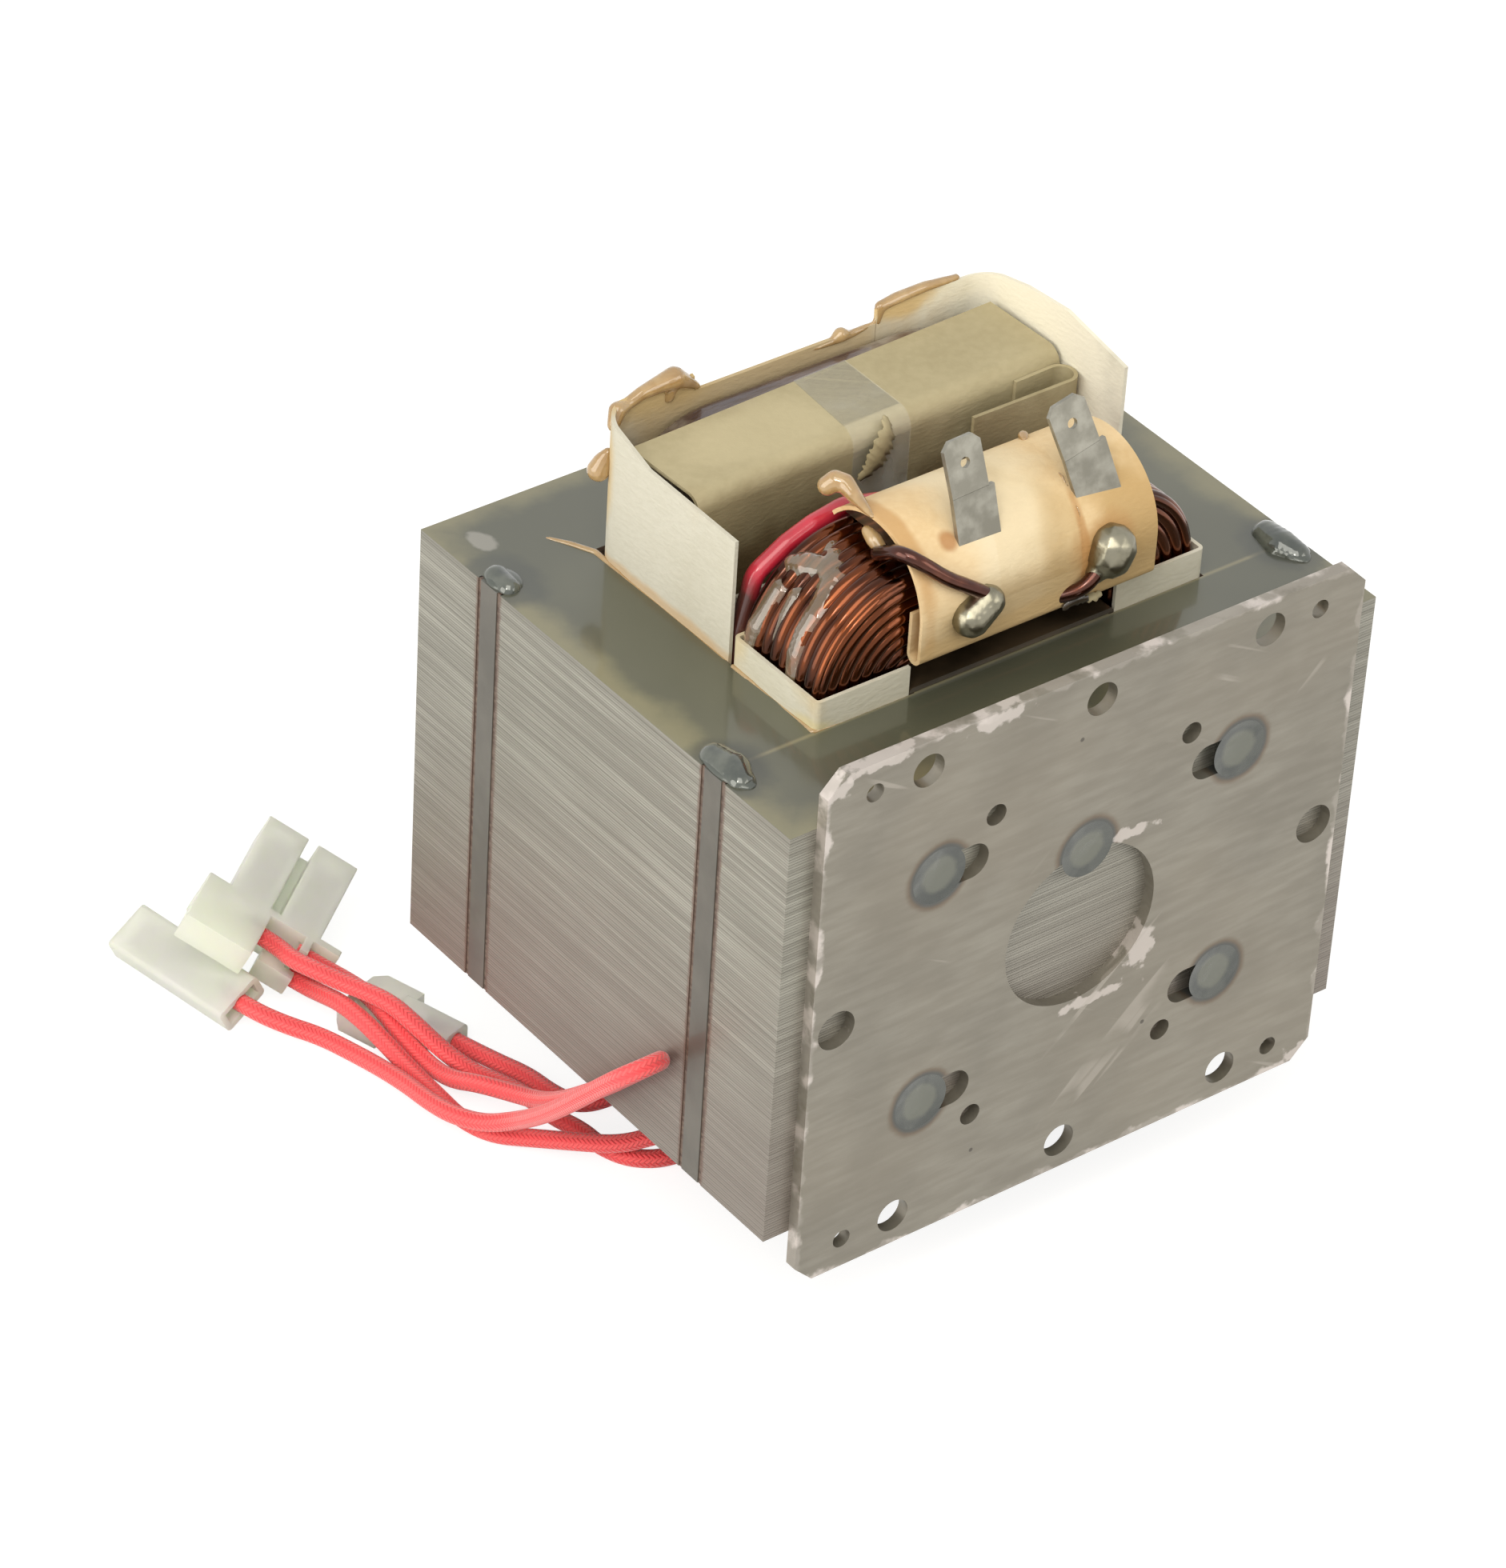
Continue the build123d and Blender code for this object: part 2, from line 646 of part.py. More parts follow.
jumper_route = [
    (-61.4, 61.8, 7.8), (-59.0, 58.8, 6.0), (-57.0, 55.3, 5.0), (-55.9, 50.7, 4.8),
    (-56.5, 44.9, 5.0), (-56.3, 39.5, 3.2), (-55.6, 34.3, 1.6), (-55.4, 28.9, 2.6),
    (-54.4, 23.7, 5.0), (-52.0, 18.2, 5.8), (-51.4, 12.5, 8.0), (-52.6, 6.7, 12.4),
    (-54.0, 0.1, 18.4), (-54.0, -6.7, 24.9), (-54.0, -11.3, 29.8), (-54.0, -15.7, 34.5),
    (-54.3, -19.9, 39.0), (-56.5, -21.4, 40.5), (-59.5, -21.4, 40.5), (-61.6, -19.9, 39.0),
    (-61.7, -16.0, 34.8), (-61.4, -9.5, 27.6), (-60.2, -2.7, 20.4), (-58.4, 4.3, 13.6),
    (-57.0, 10.1, 8.4), (-59.0, 15.1, 5.2), (-61.3, 20.1, 4.4), (-61.7, 25.7, 3.4),
    (-61.6, 31.7, 2.6), (-62.3, 38.0, 2.0), (-63.4, 43.7, 1.5), (-65.3, 49.1, 1.7),
    (-69.1, 53.4, 2.8), (-72.0, 57.9, 3.9), (-72.85, 62.6, 3.9),
]
secondary_lead_route = [
    (-29.0, 12.8, 5.0), (-33.4, 12.7, 3.6), (-38.0, 13.0, 2.0), (-42.4, 14.8, 1.5),
    (-44.0, 19.0, 1.5), (-44.6, 24.5, 1.5), (-46.8, 29.6, 1.7), (-49.1, 35.2, 2.2),
    (-50.7, 40.5, 2.2),
]

# Housings are drawn with X across, Y toward the mating end and Z up, then laid in place.
twin_place = Plane((-61.65, 66.6, 12.35), x_dir=(0.554, -0.708, -0.434),
                   z_dir=(0.267, -0.341, 0.899))
flat_place = Plane((-74.5, 71.8, 3.85), x_dir=(0.881, 0.156, 0.446), z_dir=(-0.439, -0.078, 0.895))
tongue_place = Plane((-54.6, 49.7, 1.65), x_dir=(0.956, 0.292, 0), z_dir=(0, 0, 1))


def twin_housing():
    """Two ways side by side; leads enter sideways, one through the side block's wall."""
    pitch = way_width + way_gap
    body = block(-flange_width / 2, flange_width / 2, -flange_thickness, 0, -flange_height, 0)
    body += block(-flange_width / 2, -0.3, -side_block_length, 0, -side_block_height, 0)
    body += block(1.2, wall_outer, -6.4, 0, -flange_height, -4.4)
    body += block(wall_outer - 1.4, wall_outer, -4.4, 0, -5, 0)
    for x in (-pitch / 2, pitch / 2):
        body += block(x - way_width / 2, x + way_width / 2, -1, way_length, -way_thickness, 0)
    body += block(-way_gap, way_gap, -1, way_length - 1.2, -way_thickness, -3.0)
    body = fillet(body.edges().filter_by(Axis.Y), 0.3)
    for x in (-pitch / 2, pitch / 2):
        body -= Pos(x, 0, -way_thickness / 2) * block(
            -receptacle_width / 2 - receptacle_fit, receptacle_width / 2 + receptacle_fit, 1,
            way_length + 1, -receptacle_height / 2 - receptacle_fit,
            receptacle_height / 2 + receptacle_fit)
    bore = lead_diameter + 2 * lead_fit
    for x, y, z in ((-3.0, -3.75, -2.4), (wall_outer - 2, -2.75, -2.4),
                    (wall_outer - 2, -4.2, -6.0)):
        body -= bar_between((x, y, z), (x + 4.0, y, z), bore)
    return twin_place * body


def receptacle():
    """Tinned female tab: flat box open at both ends, with the slit between its rolled edges."""
    shell = block(-receptacle_width / 2, receptacle_width / 2, 0, receptacle_length,
                  -receptacle_height / 2, receptacle_height / 2)
    shell -= block(-receptacle_width / 2 + 0.4, receptacle_width / 2 - 0.4, -1,
                   receptacle_length + 1, -receptacle_height / 2 + 0.4,
                   receptacle_height / 2 - 0.4)
    return shell - block(-0.3, 0.3, -1, receptacle_length + 1, 0, receptacle_height)


def flat_housing():
    body = block(-flat_width / 2, flat_width / 2, -flat_length / 2, flat_length / 2,
                 -flat_thickness / 2, flat_thickness / 2)
    body = fillet(body.edges().filter_by(Axis.Y), 0.8)
    cavity = block(-flat_width / 2 + housing_wall, flat_width / 2 - housing_wall,
                   -flat_length / 2 - 1, flat_length / 2 + 1,
                   -flat_thickness / 2 + housing_wall, flat_thickness / 2 - housing_wall)
    mouth = bar_between((0, -flat_length / 2 - 1, 0), (0, -flat_length / 2 + 5, 0),
                        lead_diameter + 2 * lead_fit)
    return flat_place * (body - cavity - mouth)


def tongue_housing():
    body = block(-tongue_width / 2, tongue_width / 2, -tongue_length / 2, tongue_length / 2,
                 -tongue_thickness / 2, tongue_thickness / 2)
    body = chamfer(body.edges().filter_by(Axis.Z).group_by(Axis.Y)[-1], 1.6)
    boot_end = -tongue_length / 2 - boot_length
    floor = -tongue_thickness / 2
    boot = block(-boot_width / 2, boot_width / 2, boot_end, -tongue_length / 2 + 1, floor,
                 floor + boot_height)
    body += Pos(boot_offset, 0, 0) * fillet(boot.edges().filter_by(Axis.Y), 1.2)
    middle = floor + boot_height / 2
    body -= bar_between((boot_offset, boot_end - 1, middle), (boot_offset, boot_end + 5.5, middle),
                        lead_diameter + lead_fit)
    return tongue_place * body


def build_nodes():
    nodes = {"e_laminations": e_laminations(), "i_laminations": i_laminations()}
    weld_names = ("front_left", "back_left", "front_right", "back_right")
    for name, (x, y) in zip(weld_names, weld_line_places()):
        spread = front_bead_spread if "front" in name else rear_bead_spread
        nodes["seam_weld_" + name] = seam_weld(x, y, spread)
    nodes["base_plate"] = base_plate()
    puddle_names = ("lower_left", "upper_left", "lower_right", "upper_right", "window")
    for name, weld in zip(puddle_names, plug_welds(nodes["base_plate"])):
        nodes["plug_weld_" + name] = weld

    nodes["leg_sleeve"] = leg_sleeve()
    nodes["primary_liner_left"] = primary_liner()
    nodes["primary_liner_right"] = mirrored(nodes["primary_liner_left"])
    nodes["primary_winding"] = primary_winding()
    nodes["filament_winding"] = filament_winding()
    right_shunt = shunt()
    nodes["shunt_right"] = right_shunt
    nodes["shunt_left"] = mirrored(right_shunt)
    nodes["shunt_paper_right"] = shunt_wrap(right_shunt)
    nodes["shunt_paper_left"] = mirrored(nodes["shunt_paper_right"])
    nodes["secondary_winding"] = secondary_winding()
    nodes["crown_paper"] = skewed(secondary_wrap(1))
    nodes["paper_curl"] = skewed(paper_curl())
    nodes["crown_tape"] = skewed(crown_tape())
    nodes["lower_paper"] = secondary_wrap(-1)
    nodes["fence_left"] = fence(-1)
    nodes["fence_right"] = fence(1)

    left_tab = blade_tab(left_tab_x, left_tab_tilt, left_tail_angle)
    right_tab = blade_tab(right_tab_x, right_tab_tilt, right_tail_angle)
    left_lead = copper_lead(left_copper_route())
    right_lead = copper_lead(right_copper_route())
    pad = terminal_pad() - left_tab - right_tab
    left_solder = solder(left_solder_x, left_solder_rise) - left_tab - left_lead
    right_solder = solder(right_solder_x, right_solder_rise) - right_tab - right_lead
    nodes["terminal_pad"] = pad
    nodes["pad_filler"] = pad_filler() - left_tab - right_tab
    nodes["tab_left"] = left_tab
    nodes["tab_right"] = right_tab
    nodes["primary_lead_left"] = left_lead
    nodes["primary_lead_right"] = right_lead
    nodes["solder_left"] = left_solder
    nodes["solder_right"] = right_solder

    nodes["filament_lead_low"] = cord(filament_lead_low_route)
    nodes["filament_lead_high"] = cord(filament_lead_high_route)
    nodes["jumper_lead"] = cord(jumper_route)
    nodes["secondary_lead"] = cord(secondary_lead_route)
    nodes["twin_housing"] = twin_housing()
    pitch = way_width + way_gap
    for name, x in (("left", -pitch / 2), ("right", pitch / 2)):
        placed = twin_place * Pos(x, 3.0, -way_thickness / 2) * receptacle()
        nodes["twin_receptacle_" + name] = placed
    nodes["flat_receptacle"] = flat_place * Pos(0, flat_length / 2 - 14, 0) * receptacle()
    nodes["flat_housing"] = flat_housing()
    nodes["tongue_housing"] = tongue_housing()
    return nodes


if __name__ == "__main__":
    for name, shape in build_nodes().items():
        export_step(shape, "parts/" + name + ".step")
        print(name, round(shape.volume, 1), len(shape.solids()))
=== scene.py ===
# %% [markdown]
# # A high voltage transformer, dressed for its photograph
# The piece is a welded steel core with a base plate, a heavy copper coil and a papered coil on
# its middle leg, blade terminals on a paper pad, and four red braided leads in nylon housings.
# The rigid parts come from the imported CAD model. This file gives them their finishes, lays the leads
# as braided tubes along smooth curves, and adds the hardened varnish that the factory left on the coils.

# %% Load the frame
import bpy
import bmesh
import math
import random
from mathutils import Matrix, Vector


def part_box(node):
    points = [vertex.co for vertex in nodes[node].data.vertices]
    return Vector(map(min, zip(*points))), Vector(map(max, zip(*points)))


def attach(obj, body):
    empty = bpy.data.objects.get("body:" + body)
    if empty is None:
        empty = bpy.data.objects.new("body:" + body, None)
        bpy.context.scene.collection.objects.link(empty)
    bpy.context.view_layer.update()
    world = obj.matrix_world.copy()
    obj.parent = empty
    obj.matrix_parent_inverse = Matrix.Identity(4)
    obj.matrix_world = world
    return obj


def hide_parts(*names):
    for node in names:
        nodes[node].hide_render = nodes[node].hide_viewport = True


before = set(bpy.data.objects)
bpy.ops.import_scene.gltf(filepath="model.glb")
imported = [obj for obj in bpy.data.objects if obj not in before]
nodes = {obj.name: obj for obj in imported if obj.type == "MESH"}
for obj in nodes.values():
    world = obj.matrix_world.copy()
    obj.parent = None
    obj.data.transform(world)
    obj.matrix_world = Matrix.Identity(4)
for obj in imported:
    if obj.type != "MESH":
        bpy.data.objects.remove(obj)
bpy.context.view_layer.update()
mm = 0.001
print("CAD nodes:", len(nodes))

# %% [markdown]
# ## The camera
# The photograph was taken with a long lens from the front left, looking down. A camera is placed
# by its distance from the object and by three turns: a heading, a tilt and a small roll. A long
# lens keeps the receding edges nearly parallel, as the photograph shows them. Every new object
# has to be linked to the scene before it shows, so that step gets a helper first.

# %% Link an object to the scene
def linked(name, data):
    """Makes an object of this data and links it to the scene."""
    obj = bpy.data.objects.new(name, data)
    bpy.context.scene.collection.objects.link(obj)
    return obj


# %% Place the camera
camera_place = Vector((-0.52802, -0.61936, 0.65563))
camera_heading = math.radians(-39.09)
camera_tilt = math.radians(90 - 36.59)
camera_roll = math.radians(3.64)

camera_data = bpy.data.cameras.new("camera")
camera_data.sensor_width = 36
camera_data.lens = 159.19
camera = linked("camera", camera_data)
turn = (
    Matrix.Rotation(camera_heading, 4, "Z")
    @ Matrix.Rotation(camera_tilt, 4, "X")
    @ Matrix.Rotation(camera_roll, 4, "Z")
)
camera.matrix_world = Matrix.Translation(camera_place) @ turn
bpy.context.scene.camera = camera
print("Camera distance:", round((camera_place - Vector((0, 0, 0.06))).length, 3), "m")

# %% [markdown]
# ## Tools for building finishes
# A finish is a small graph of nodes. A few helpers keep the graphs short to read: they fill or
# link an input, add a node, do one sum, mix two colours by a mask, or map one range to another.
# The same graphs could be drawn by hand in the shader editor, but a script can repeat them.

# %% Nodes and sums
def wire(tree, value, socket):
    """Links a socket to an input, or sets a plain value on it."""
    if isinstance(value, bpy.types.NodeSocket):
        tree.links.new(value, socket)
    elif hasattr(value, "__len__") and len(value) == 3 and socket.type == "RGBA":
        socket.default_value = (*value, 1)
    else:
        socket.default_value = value


def add(tree, kind, settings=None, **inputs):
    """Adds a node with its settings and its inputs, named with _ for a space."""
    node = tree.nodes.new(kind)
    for name, value in (settings or {}).items():
        setattr(node, name, value)
    for name, value in inputs.items():
        wire(tree, value, node.inputs[name.replace("_", " ")])
    return node


def sums(tree, operation, *values):
    """One arithmetic step on numbers."""
    node = add(tree, "ShaderNodeMath", {"operation": operation})
    for value, socket in zip(values, node.inputs):
        wire(tree, value, socket)
    return node.outputs[0]


def vectors(tree, operation, *values):
    """One arithmetic step on vectors."""
    node = add(tree, "ShaderNodeVectorMath", {"operation": operation})
    for value, socket in zip(values, node.inputs):
        wire(tree, value, socket)
    return node.outputs["Value" if operation == "LENGTH" else "Vector"]


# %% Colours and masks
def mixed(tree, mask, under, over):
    """Mixes two colours by a mask."""
    node = add(tree, "ShaderNodeMix", {"data_type": "RGBA"})
    wire(tree, mask, node.inputs[0])
    wire(tree, under, node.inputs[6])
    wire(tree, over, node.inputs[7])
    return node.outputs[2]


def laid(tree, under, over, mask, share):
    """Lays a share of one colour over another where the mask is."""
    return mixed(tree, sums(tree, "MULTIPLY", mask, share), under, over)


def ramp(tree, value, start, end, low=0.0, high=1.0):
    """Maps a value from start..end to low..high with soft ends."""
    node = add(tree, "ShaderNodeMapRange", {"interpolation_type": "SMOOTHSTEP"})
    for name, number in (("From Min", start), ("From Max", end), ("To Min", low), ("To Max", high)):
        wire(tree, number, node.inputs[name])
    wire(tree, value, node.inputs["Value"])
    return node.outputs[0]


# %% [markdown]
# ## Effects that several finishes share
# Stains, scratches, wear and sheet lines turn up on more than one material, so each is a node
# group with named inputs, and a material places it with its own values. A group could also hold
# the shader itself, but the shader stays in the material, where its constants are easy to find.

# %% Start a node group
def effect(name, inputs, outputs):
    """Makes an empty node group and returns it with its input and output nodes."""
    group = bpy.data.node_groups.new(name, "ShaderNodeTree")
    kinds = {"number": "NodeSocketFloat", "vector": "NodeSocketVector", "colour": "NodeSocketColor"}
    for label, kind, start in inputs:
        made = group.interface.new_socket(label, in_out="INPUT", socket_type=kinds[kind])
        made.default_value = start
    for label, kind in outputs:
        group.interface.new_socket(label, in_out="OUTPUT", socket_type=kinds[kind])
    return group, group.nodes.new("NodeGroupInput").outputs, group.nodes.new("NodeGroupOutput").inputs


def use(tree, name, **inputs):
    """Places a node group in a graph and returns its outputs."""
    node = add(tree, "ShaderNodeGroup", {"node_tree": bpy.data.node_groups[name]})
    for label, value in inputs.items():
        wire(tree, value, node.inputs[label.replace("_", " ")])
    return node.outputs


# %% [markdown]
# ### Patches
# Stains and mottled steel are clouds of different size. One noise, stretched along any axis,
# makes both clouds and brush marks, and two limits say how much of the surface it covers.

# %% Patches
patches, get, give = effect(
    "patches",
    [
        ("Vector", "vector", (0, 0, 0)),
        ("Stretch", "vector", (1, 1, 1)),
        ("Scale", "number", 100),
        ("Detail", "number", 4),
        ("Low", "number", 0.4),
        ("High", "number", 0.6),
    ],
    [("Mask", "number")],
)
pulled = vectors(patches, "MULTIPLY", get["Vector"], get["Stretch"])
cloud = add(patches, "ShaderNodeTexNoise", Vector=pulled, Scale=get["Scale"], Detail=get["Detail"])
wire(patches, ramp(patches, cloud.outputs[0], get["Low"], get["High"]), give["Mask"])
print("Effect:", patches.name)

# %% [markdown]
# ### Spots
# Heat round a weld, a drip or a stain has a place, and so do painted shade and painted light. A spot is a
# mask round a point, with its own radius on each axis and a ragged rim, so that it doesn't look drawn with a
# compass.

# %% Spots
spots, get, give = effect(
    "spot",
    [
        ("Vector", "vector", (0, 0, 0)),
        ("Centre", "vector", (0, 0, 0)),
        ("Radii", "vector", (0.01, 0.01, 0.01)),
        ("Soft", "number", 0.2),
        ("Ragged", "number", 0.3),
        ("Grain", "number", 300),
    ],
    [("Mask", "number")],
)
away = vectors(spots, "DIVIDE", vectors(spots, "SUBTRACT", get["Vector"], get["Centre"]), get["Radii"])
rim_noise = add(spots, "ShaderNodeTexNoise", Vector=get["Vector"], Scale=get["Grain"], Detail=3)
shifted = sums(spots, "MULTIPLY_ADD", sums(spots, "SUBTRACT", rim_noise.outputs[0], 0.5), get["Ragged"],
               vectors(spots, "LENGTH", away))
inner = sums(spots, "SUBTRACT", 1.0, get["Soft"])
outer = sums(spots, "ADD", 1.0, get["Soft"])
wire(spots, ramp(spots, shifted, outer, inner), give["Mask"])
print("Effect:", spots.name)

# %% [markdown]
# ### Rubbed edges
# Sheet edges are scuffed bright where they touch things. The mask is the distance to the nearest
# face of a box, so the wear lies along the real edges and stays there from every side. Axes picks
# the directions that count: a plate is rubbed along its outline, not all over its face.

# %% Rubbed edges
edges, get, give = effect(
    "rubbed edges",
    [
        ("Vector", "vector", (0, 0, 0)),
        ("Centre", "vector", (0, 0, 0)),
        ("Half size", "vector", (0.05, 0.05, 0.05)),
        ("Axes", "vector", (1, 1, 1)),
        ("Width", "number", 0.002),
        ("Ragged", "number", 0.003),
        ("Grain", "number", 160),
    ],
    [("Mask", "number")],
)
from_middle = vectors(edges, "ABSOLUTE", vectors(edges, "SUBTRACT", get["Vector"], get["Centre"]))
to_face = vectors(edges, "SUBTRACT", get["Half size"], from_middle)
far_off = vectors(edges, "SUBTRACT", (1, 1, 1), get["Axes"])
apart = add(edges, "ShaderNodeSeparateXYZ", Vector=vectors(edges, "ADD", to_face, far_off))
nearest = sums(edges, "MINIMUM", sums(edges, "MINIMUM", apart.outputs[0], apart.outputs[1]), apart.outputs[2])
rub_noise = add(edges, "ShaderNodeTexNoise", Vector=get["Vector"], Scale=get["Grain"], Detail=5)
centred = sums(edges, "SUBTRACT", rub_noise.outputs[0], 0.5)
ragged = sums(edges, "MULTIPLY_ADD", centred, get["Ragged"], nearest)
wire(edges, ramp(edges, ragged, get["Width"], 0.0), give["Mask"])
print("Effect:", edges.name)

# %% [markdown]
# ### Sheet lines
# The core is about 150 sheets, so its sides are ruled with fine lines, and each cut edge has its
# own shade. Modelling every sheet would cost a million faces, and the lines are finer than a
# pixel from a step away, so the height above the floor is cut into sheets in the finish.

# %% Sheet lines
sheet_pitch = 0.000463
sheets, get, give = effect(
    "sheet lines",
    [("Vector", "vector", (0, 0, 0)), ("Pitch", "number", sheet_pitch), ("Start", "number", 0)],
    [("Groove", "number"), ("Tone", "number")],
)
height = add(sheets, "ShaderNodeSeparateXYZ", Vector=get["Vector"]).outputs[2]
count = sums(sheets, "DIVIDE", sums(sheets, "SUBTRACT", height, get["Start"]), get["Pitch"])
to_gap = sums(sheets, "PINGPONG", count, 0.5)
wire(sheets, ramp(sheets, to_gap, 0.0, 0.2), give["Groove"])
own = add(sheets, "ShaderNodeTexWhiteNoise", {"noise_dimensions": "1D"}, W=sums(sheets, "FLOOR", count))
wire(sheets, own.outputs[0], give["Tone"])
print("Effect:", sheets.name)

# %% [markdown]
# ### Braid
# The leads wear a sleeve of crossing threads: each runs over two and under two of the others.
# On a tube's map, U goes round it and V along it, both in turns, so two families of diagonal
# bands and a chequer that picks the upper one give the herringbone.

# %% Braid
braid, get, give = effect(
    "braid",
    [("Vector", "vector", (0, 0, 0)), ("Threads", "number", 8), ("Along", "number", 8)],
    [("Height", "number"), ("Tone", "number")],
)
across = add(braid, "ShaderNodeSeparateXYZ", Vector=get["Vector"])
round_way = sums(braid, "MULTIPLY", across.outputs[0], get["Threads"])
long_way = sums(braid, "MULTIPLY", across.outputs[1], get["Along"])
rising = sums(braid, "ADD", round_way, long_way)
falling = sums(braid, "SUBTRACT", round_way, long_way)
weave = sums(braid, "ADD", sums(braid, "FLOOR", rising), sums(braid, "FLOOR", falling))
upper = sums(braid, "LESS_THAN", sums(braid, "FLOORED_MODULO", weave, 4), 1.5)
crowns = [sums(braid, "PINGPONG", family, 0.5) for family in (rising, falling)]
chosen = add(braid, "ShaderNodeMix", {"data_type": "FLOAT"})
for number, value in ((0, upper), (2, crowns[1]), (3, crowns[0])):
    wire(braid, value, chosen.inputs[number])
wire(braid, ramp(braid, chosen.outputs[0], 0.0, 0.4), give["Height"])
wire(braid, upper, give["Tone"])
print("Effect:", braid.name)

# %% [markdown]
# ### Scratches
# A handled plate has long fine scratches that run one way. A noise turned to that way and pulled
# out along it leaves thin streaks, and a second noise breaks them up.

# %% Scratches
scratches, get, give = effect(
    "scratches",
    [
        ("Vector", "vector", (0, 0, 0)),
        ("Angle", "number", 0.5),
        ("Scale", "number", 300),
        ("Low", "number", 0.68),
        ("High", "number", 0.72),
    ],
    [("Mask", "number")],
)
turned = add(scratches, "ShaderNodeVectorRotate", {"rotation_type": "Y_AXIS"},
             Vector=get["Vector"], Angle=get["Angle"])
pulled = vectors(scratches, "MULTIPLY", turned.outputs[0], (0.06, 1, 1))
streaks = add(scratches, "ShaderNodeTexNoise", Vector=pulled, Scale=get["Scale"], Detail=2)
breaks = add(scratches, "ShaderNodeTexNoise", Vector=get["Vector"], Scale=70, Detail=2)
whole = sums(scratches, "MULTIPLY", ramp(scratches, streaks.outputs[0], get["Low"], get["High"]),
             ramp(scratches, breaks.outputs[0], 0.5, 0.6))
wire(scratches, whole, give["Mask"])
print("Effect:", scratches.name)

# %% [markdown]
# ## Finishes
# Each finish is one Principled BSDF fed by these effects. All coordinates are in metres in the
# row's own frame, so a stain can be put where the photograph shows it.

# %% Start a finish
def finish(name, roughness=0.5, metallic=0.0, **settings):
    """Makes a material and returns it with its graph, its shader and its coordinates."""
    material = bpy.data.materials.new(name)
    material.use_nodes = True
    tree = material.node_tree
    shader = tree.nodes["Principled BSDF"]
    shader.inputs["Roughness"].default_value = roughness
    shader.inputs["Metallic"].default_value = metallic
    for label, value in settings.items():
        wire(tree, value, shader.inputs[label.replace("_", " ")])
    place = tree.nodes.new("ShaderNodeTexCoord").outputs["Object"]
    print("Finish:", name)
    return material, tree, shader.inputs, place


def relief(tree, shader, height, distance, strength=1.0):
    """Feeds a height, in metres, to the shader's normal."""
    bump = add(tree, "ShaderNodeBump", Height=height, Distance=distance, Strength=strength)
    wire(tree, bump.outputs[0], shader["Normal"])


# %% Stains, painted light and two-tone colours
def stain_and_painted_light(tree, place, colour, over, strength, centre, radii, **rim):
    """Lays a spot of another colour on a colour, for stains and for painted light and shade; centre and radii
    are in millimetres.
    """
    spot = use(tree, "spot", Vector=place, Centre=Vector(centre) * mm, Radii=Vector(radii) * mm, **rim)
    return laid(tree, colour, over, spot[0], strength)


def mottled(tree, shader, place, one, other, **cloud):
    """Mixes two colours by patches into the base colour, and returns the mask."""
    mask = use(tree, "patches", Vector=place, **cloud)[0]
    wire(tree, mixed(tree, mask, one, other), shader["Base Color"])
    return mask


# %% Dress CAD nodes
def dress(material, *names):
    """Gives the material to these CAD nodes."""
    for name in names:
        nodes[name].data.materials.clear()
        nodes[name].data.materials.append(material)


# %% [markdown]
# ### Core steel
# Above and below, the core shows one whole sheet under olive glossy varnish, with yellowish
# pools near its rim. Its sides show the cut edges of all the sheets, satin and grey-beige, and
# browner near the floor. The surface's own direction tells the two apart.

# %% Cut edges of the sheets
core_low, core_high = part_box("e_laminations")
joint = core_low.y
seam_rows = []
for name in ("seam_weld_front_left", "seam_weld_back_left"):
    low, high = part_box(name)
    seam_rows.append((low.y + high.y) / 2)
core, tree, shader, place = finish("varnished_core", 0.4, 0.0, Coat_Roughness=0.1)
facing = add(tree, "ShaderNodeSeparateXYZ", Vector=tree.nodes.new("ShaderNodeNewGeometry").outputs["Normal"])
flat = ramp(tree, sums(tree, "ABSOLUTE", facing.outputs[2]), 0.5, 0.7)
lines = use(tree, "sheet lines", Vector=place, Start=core_low.z)
pairs = use(tree, "sheet lines", Vector=place, Start=core_low.z, Pitch=2 * sheet_pitch)
streak = use(tree, "patches", Vector=place, Stretch=(0.12, 0.12, 6), Scale=260, Detail=4, Low=0.3, High=0.75)
blotch = use(tree, "patches", Vector=place, Stretch=(1, 1, 0.6), Scale=55, Detail=5, Low=0.35, High=0.7)
cut = mixed(tree, streak[0], (0.27, 0.26, 0.222), (0.43, 0.42, 0.365))
cut = laid(tree, cut, (0.19, 0.182, 0.155), lines["Tone"], 0.28)
cut = laid(tree, cut, (0.23, 0.215, 0.18), blotch[0], 0.3)
level = add(tree, "ShaderNodeSeparateXYZ", Vector=place).outputs
low_down = ramp(tree, level[2], 0.075, 0.022)
cut = laid(tree, cut, (0.22, 0.175, 0.155), low_down, 0.6)
groove_shade = sums(tree, "SUBTRACT", 1.0, sums(tree, "MINIMUM", lines["Groove"], pairs["Groove"]))
cut = laid(tree, cut, (0.07, 0.065, 0.052), groove_shade, 0.4)
for row in seam_rows:
    cut = stain_and_painted_light(tree, place, cut, (0.15, 0.085, 0.06), 0.75, (0, row * 1000, 56), (4000, 2.95, 4000),
                Soft=0.1, Ragged=0.25, Grain=900)
print("Seams at y:", [round(row * 1000, 1) for row in seam_rows])

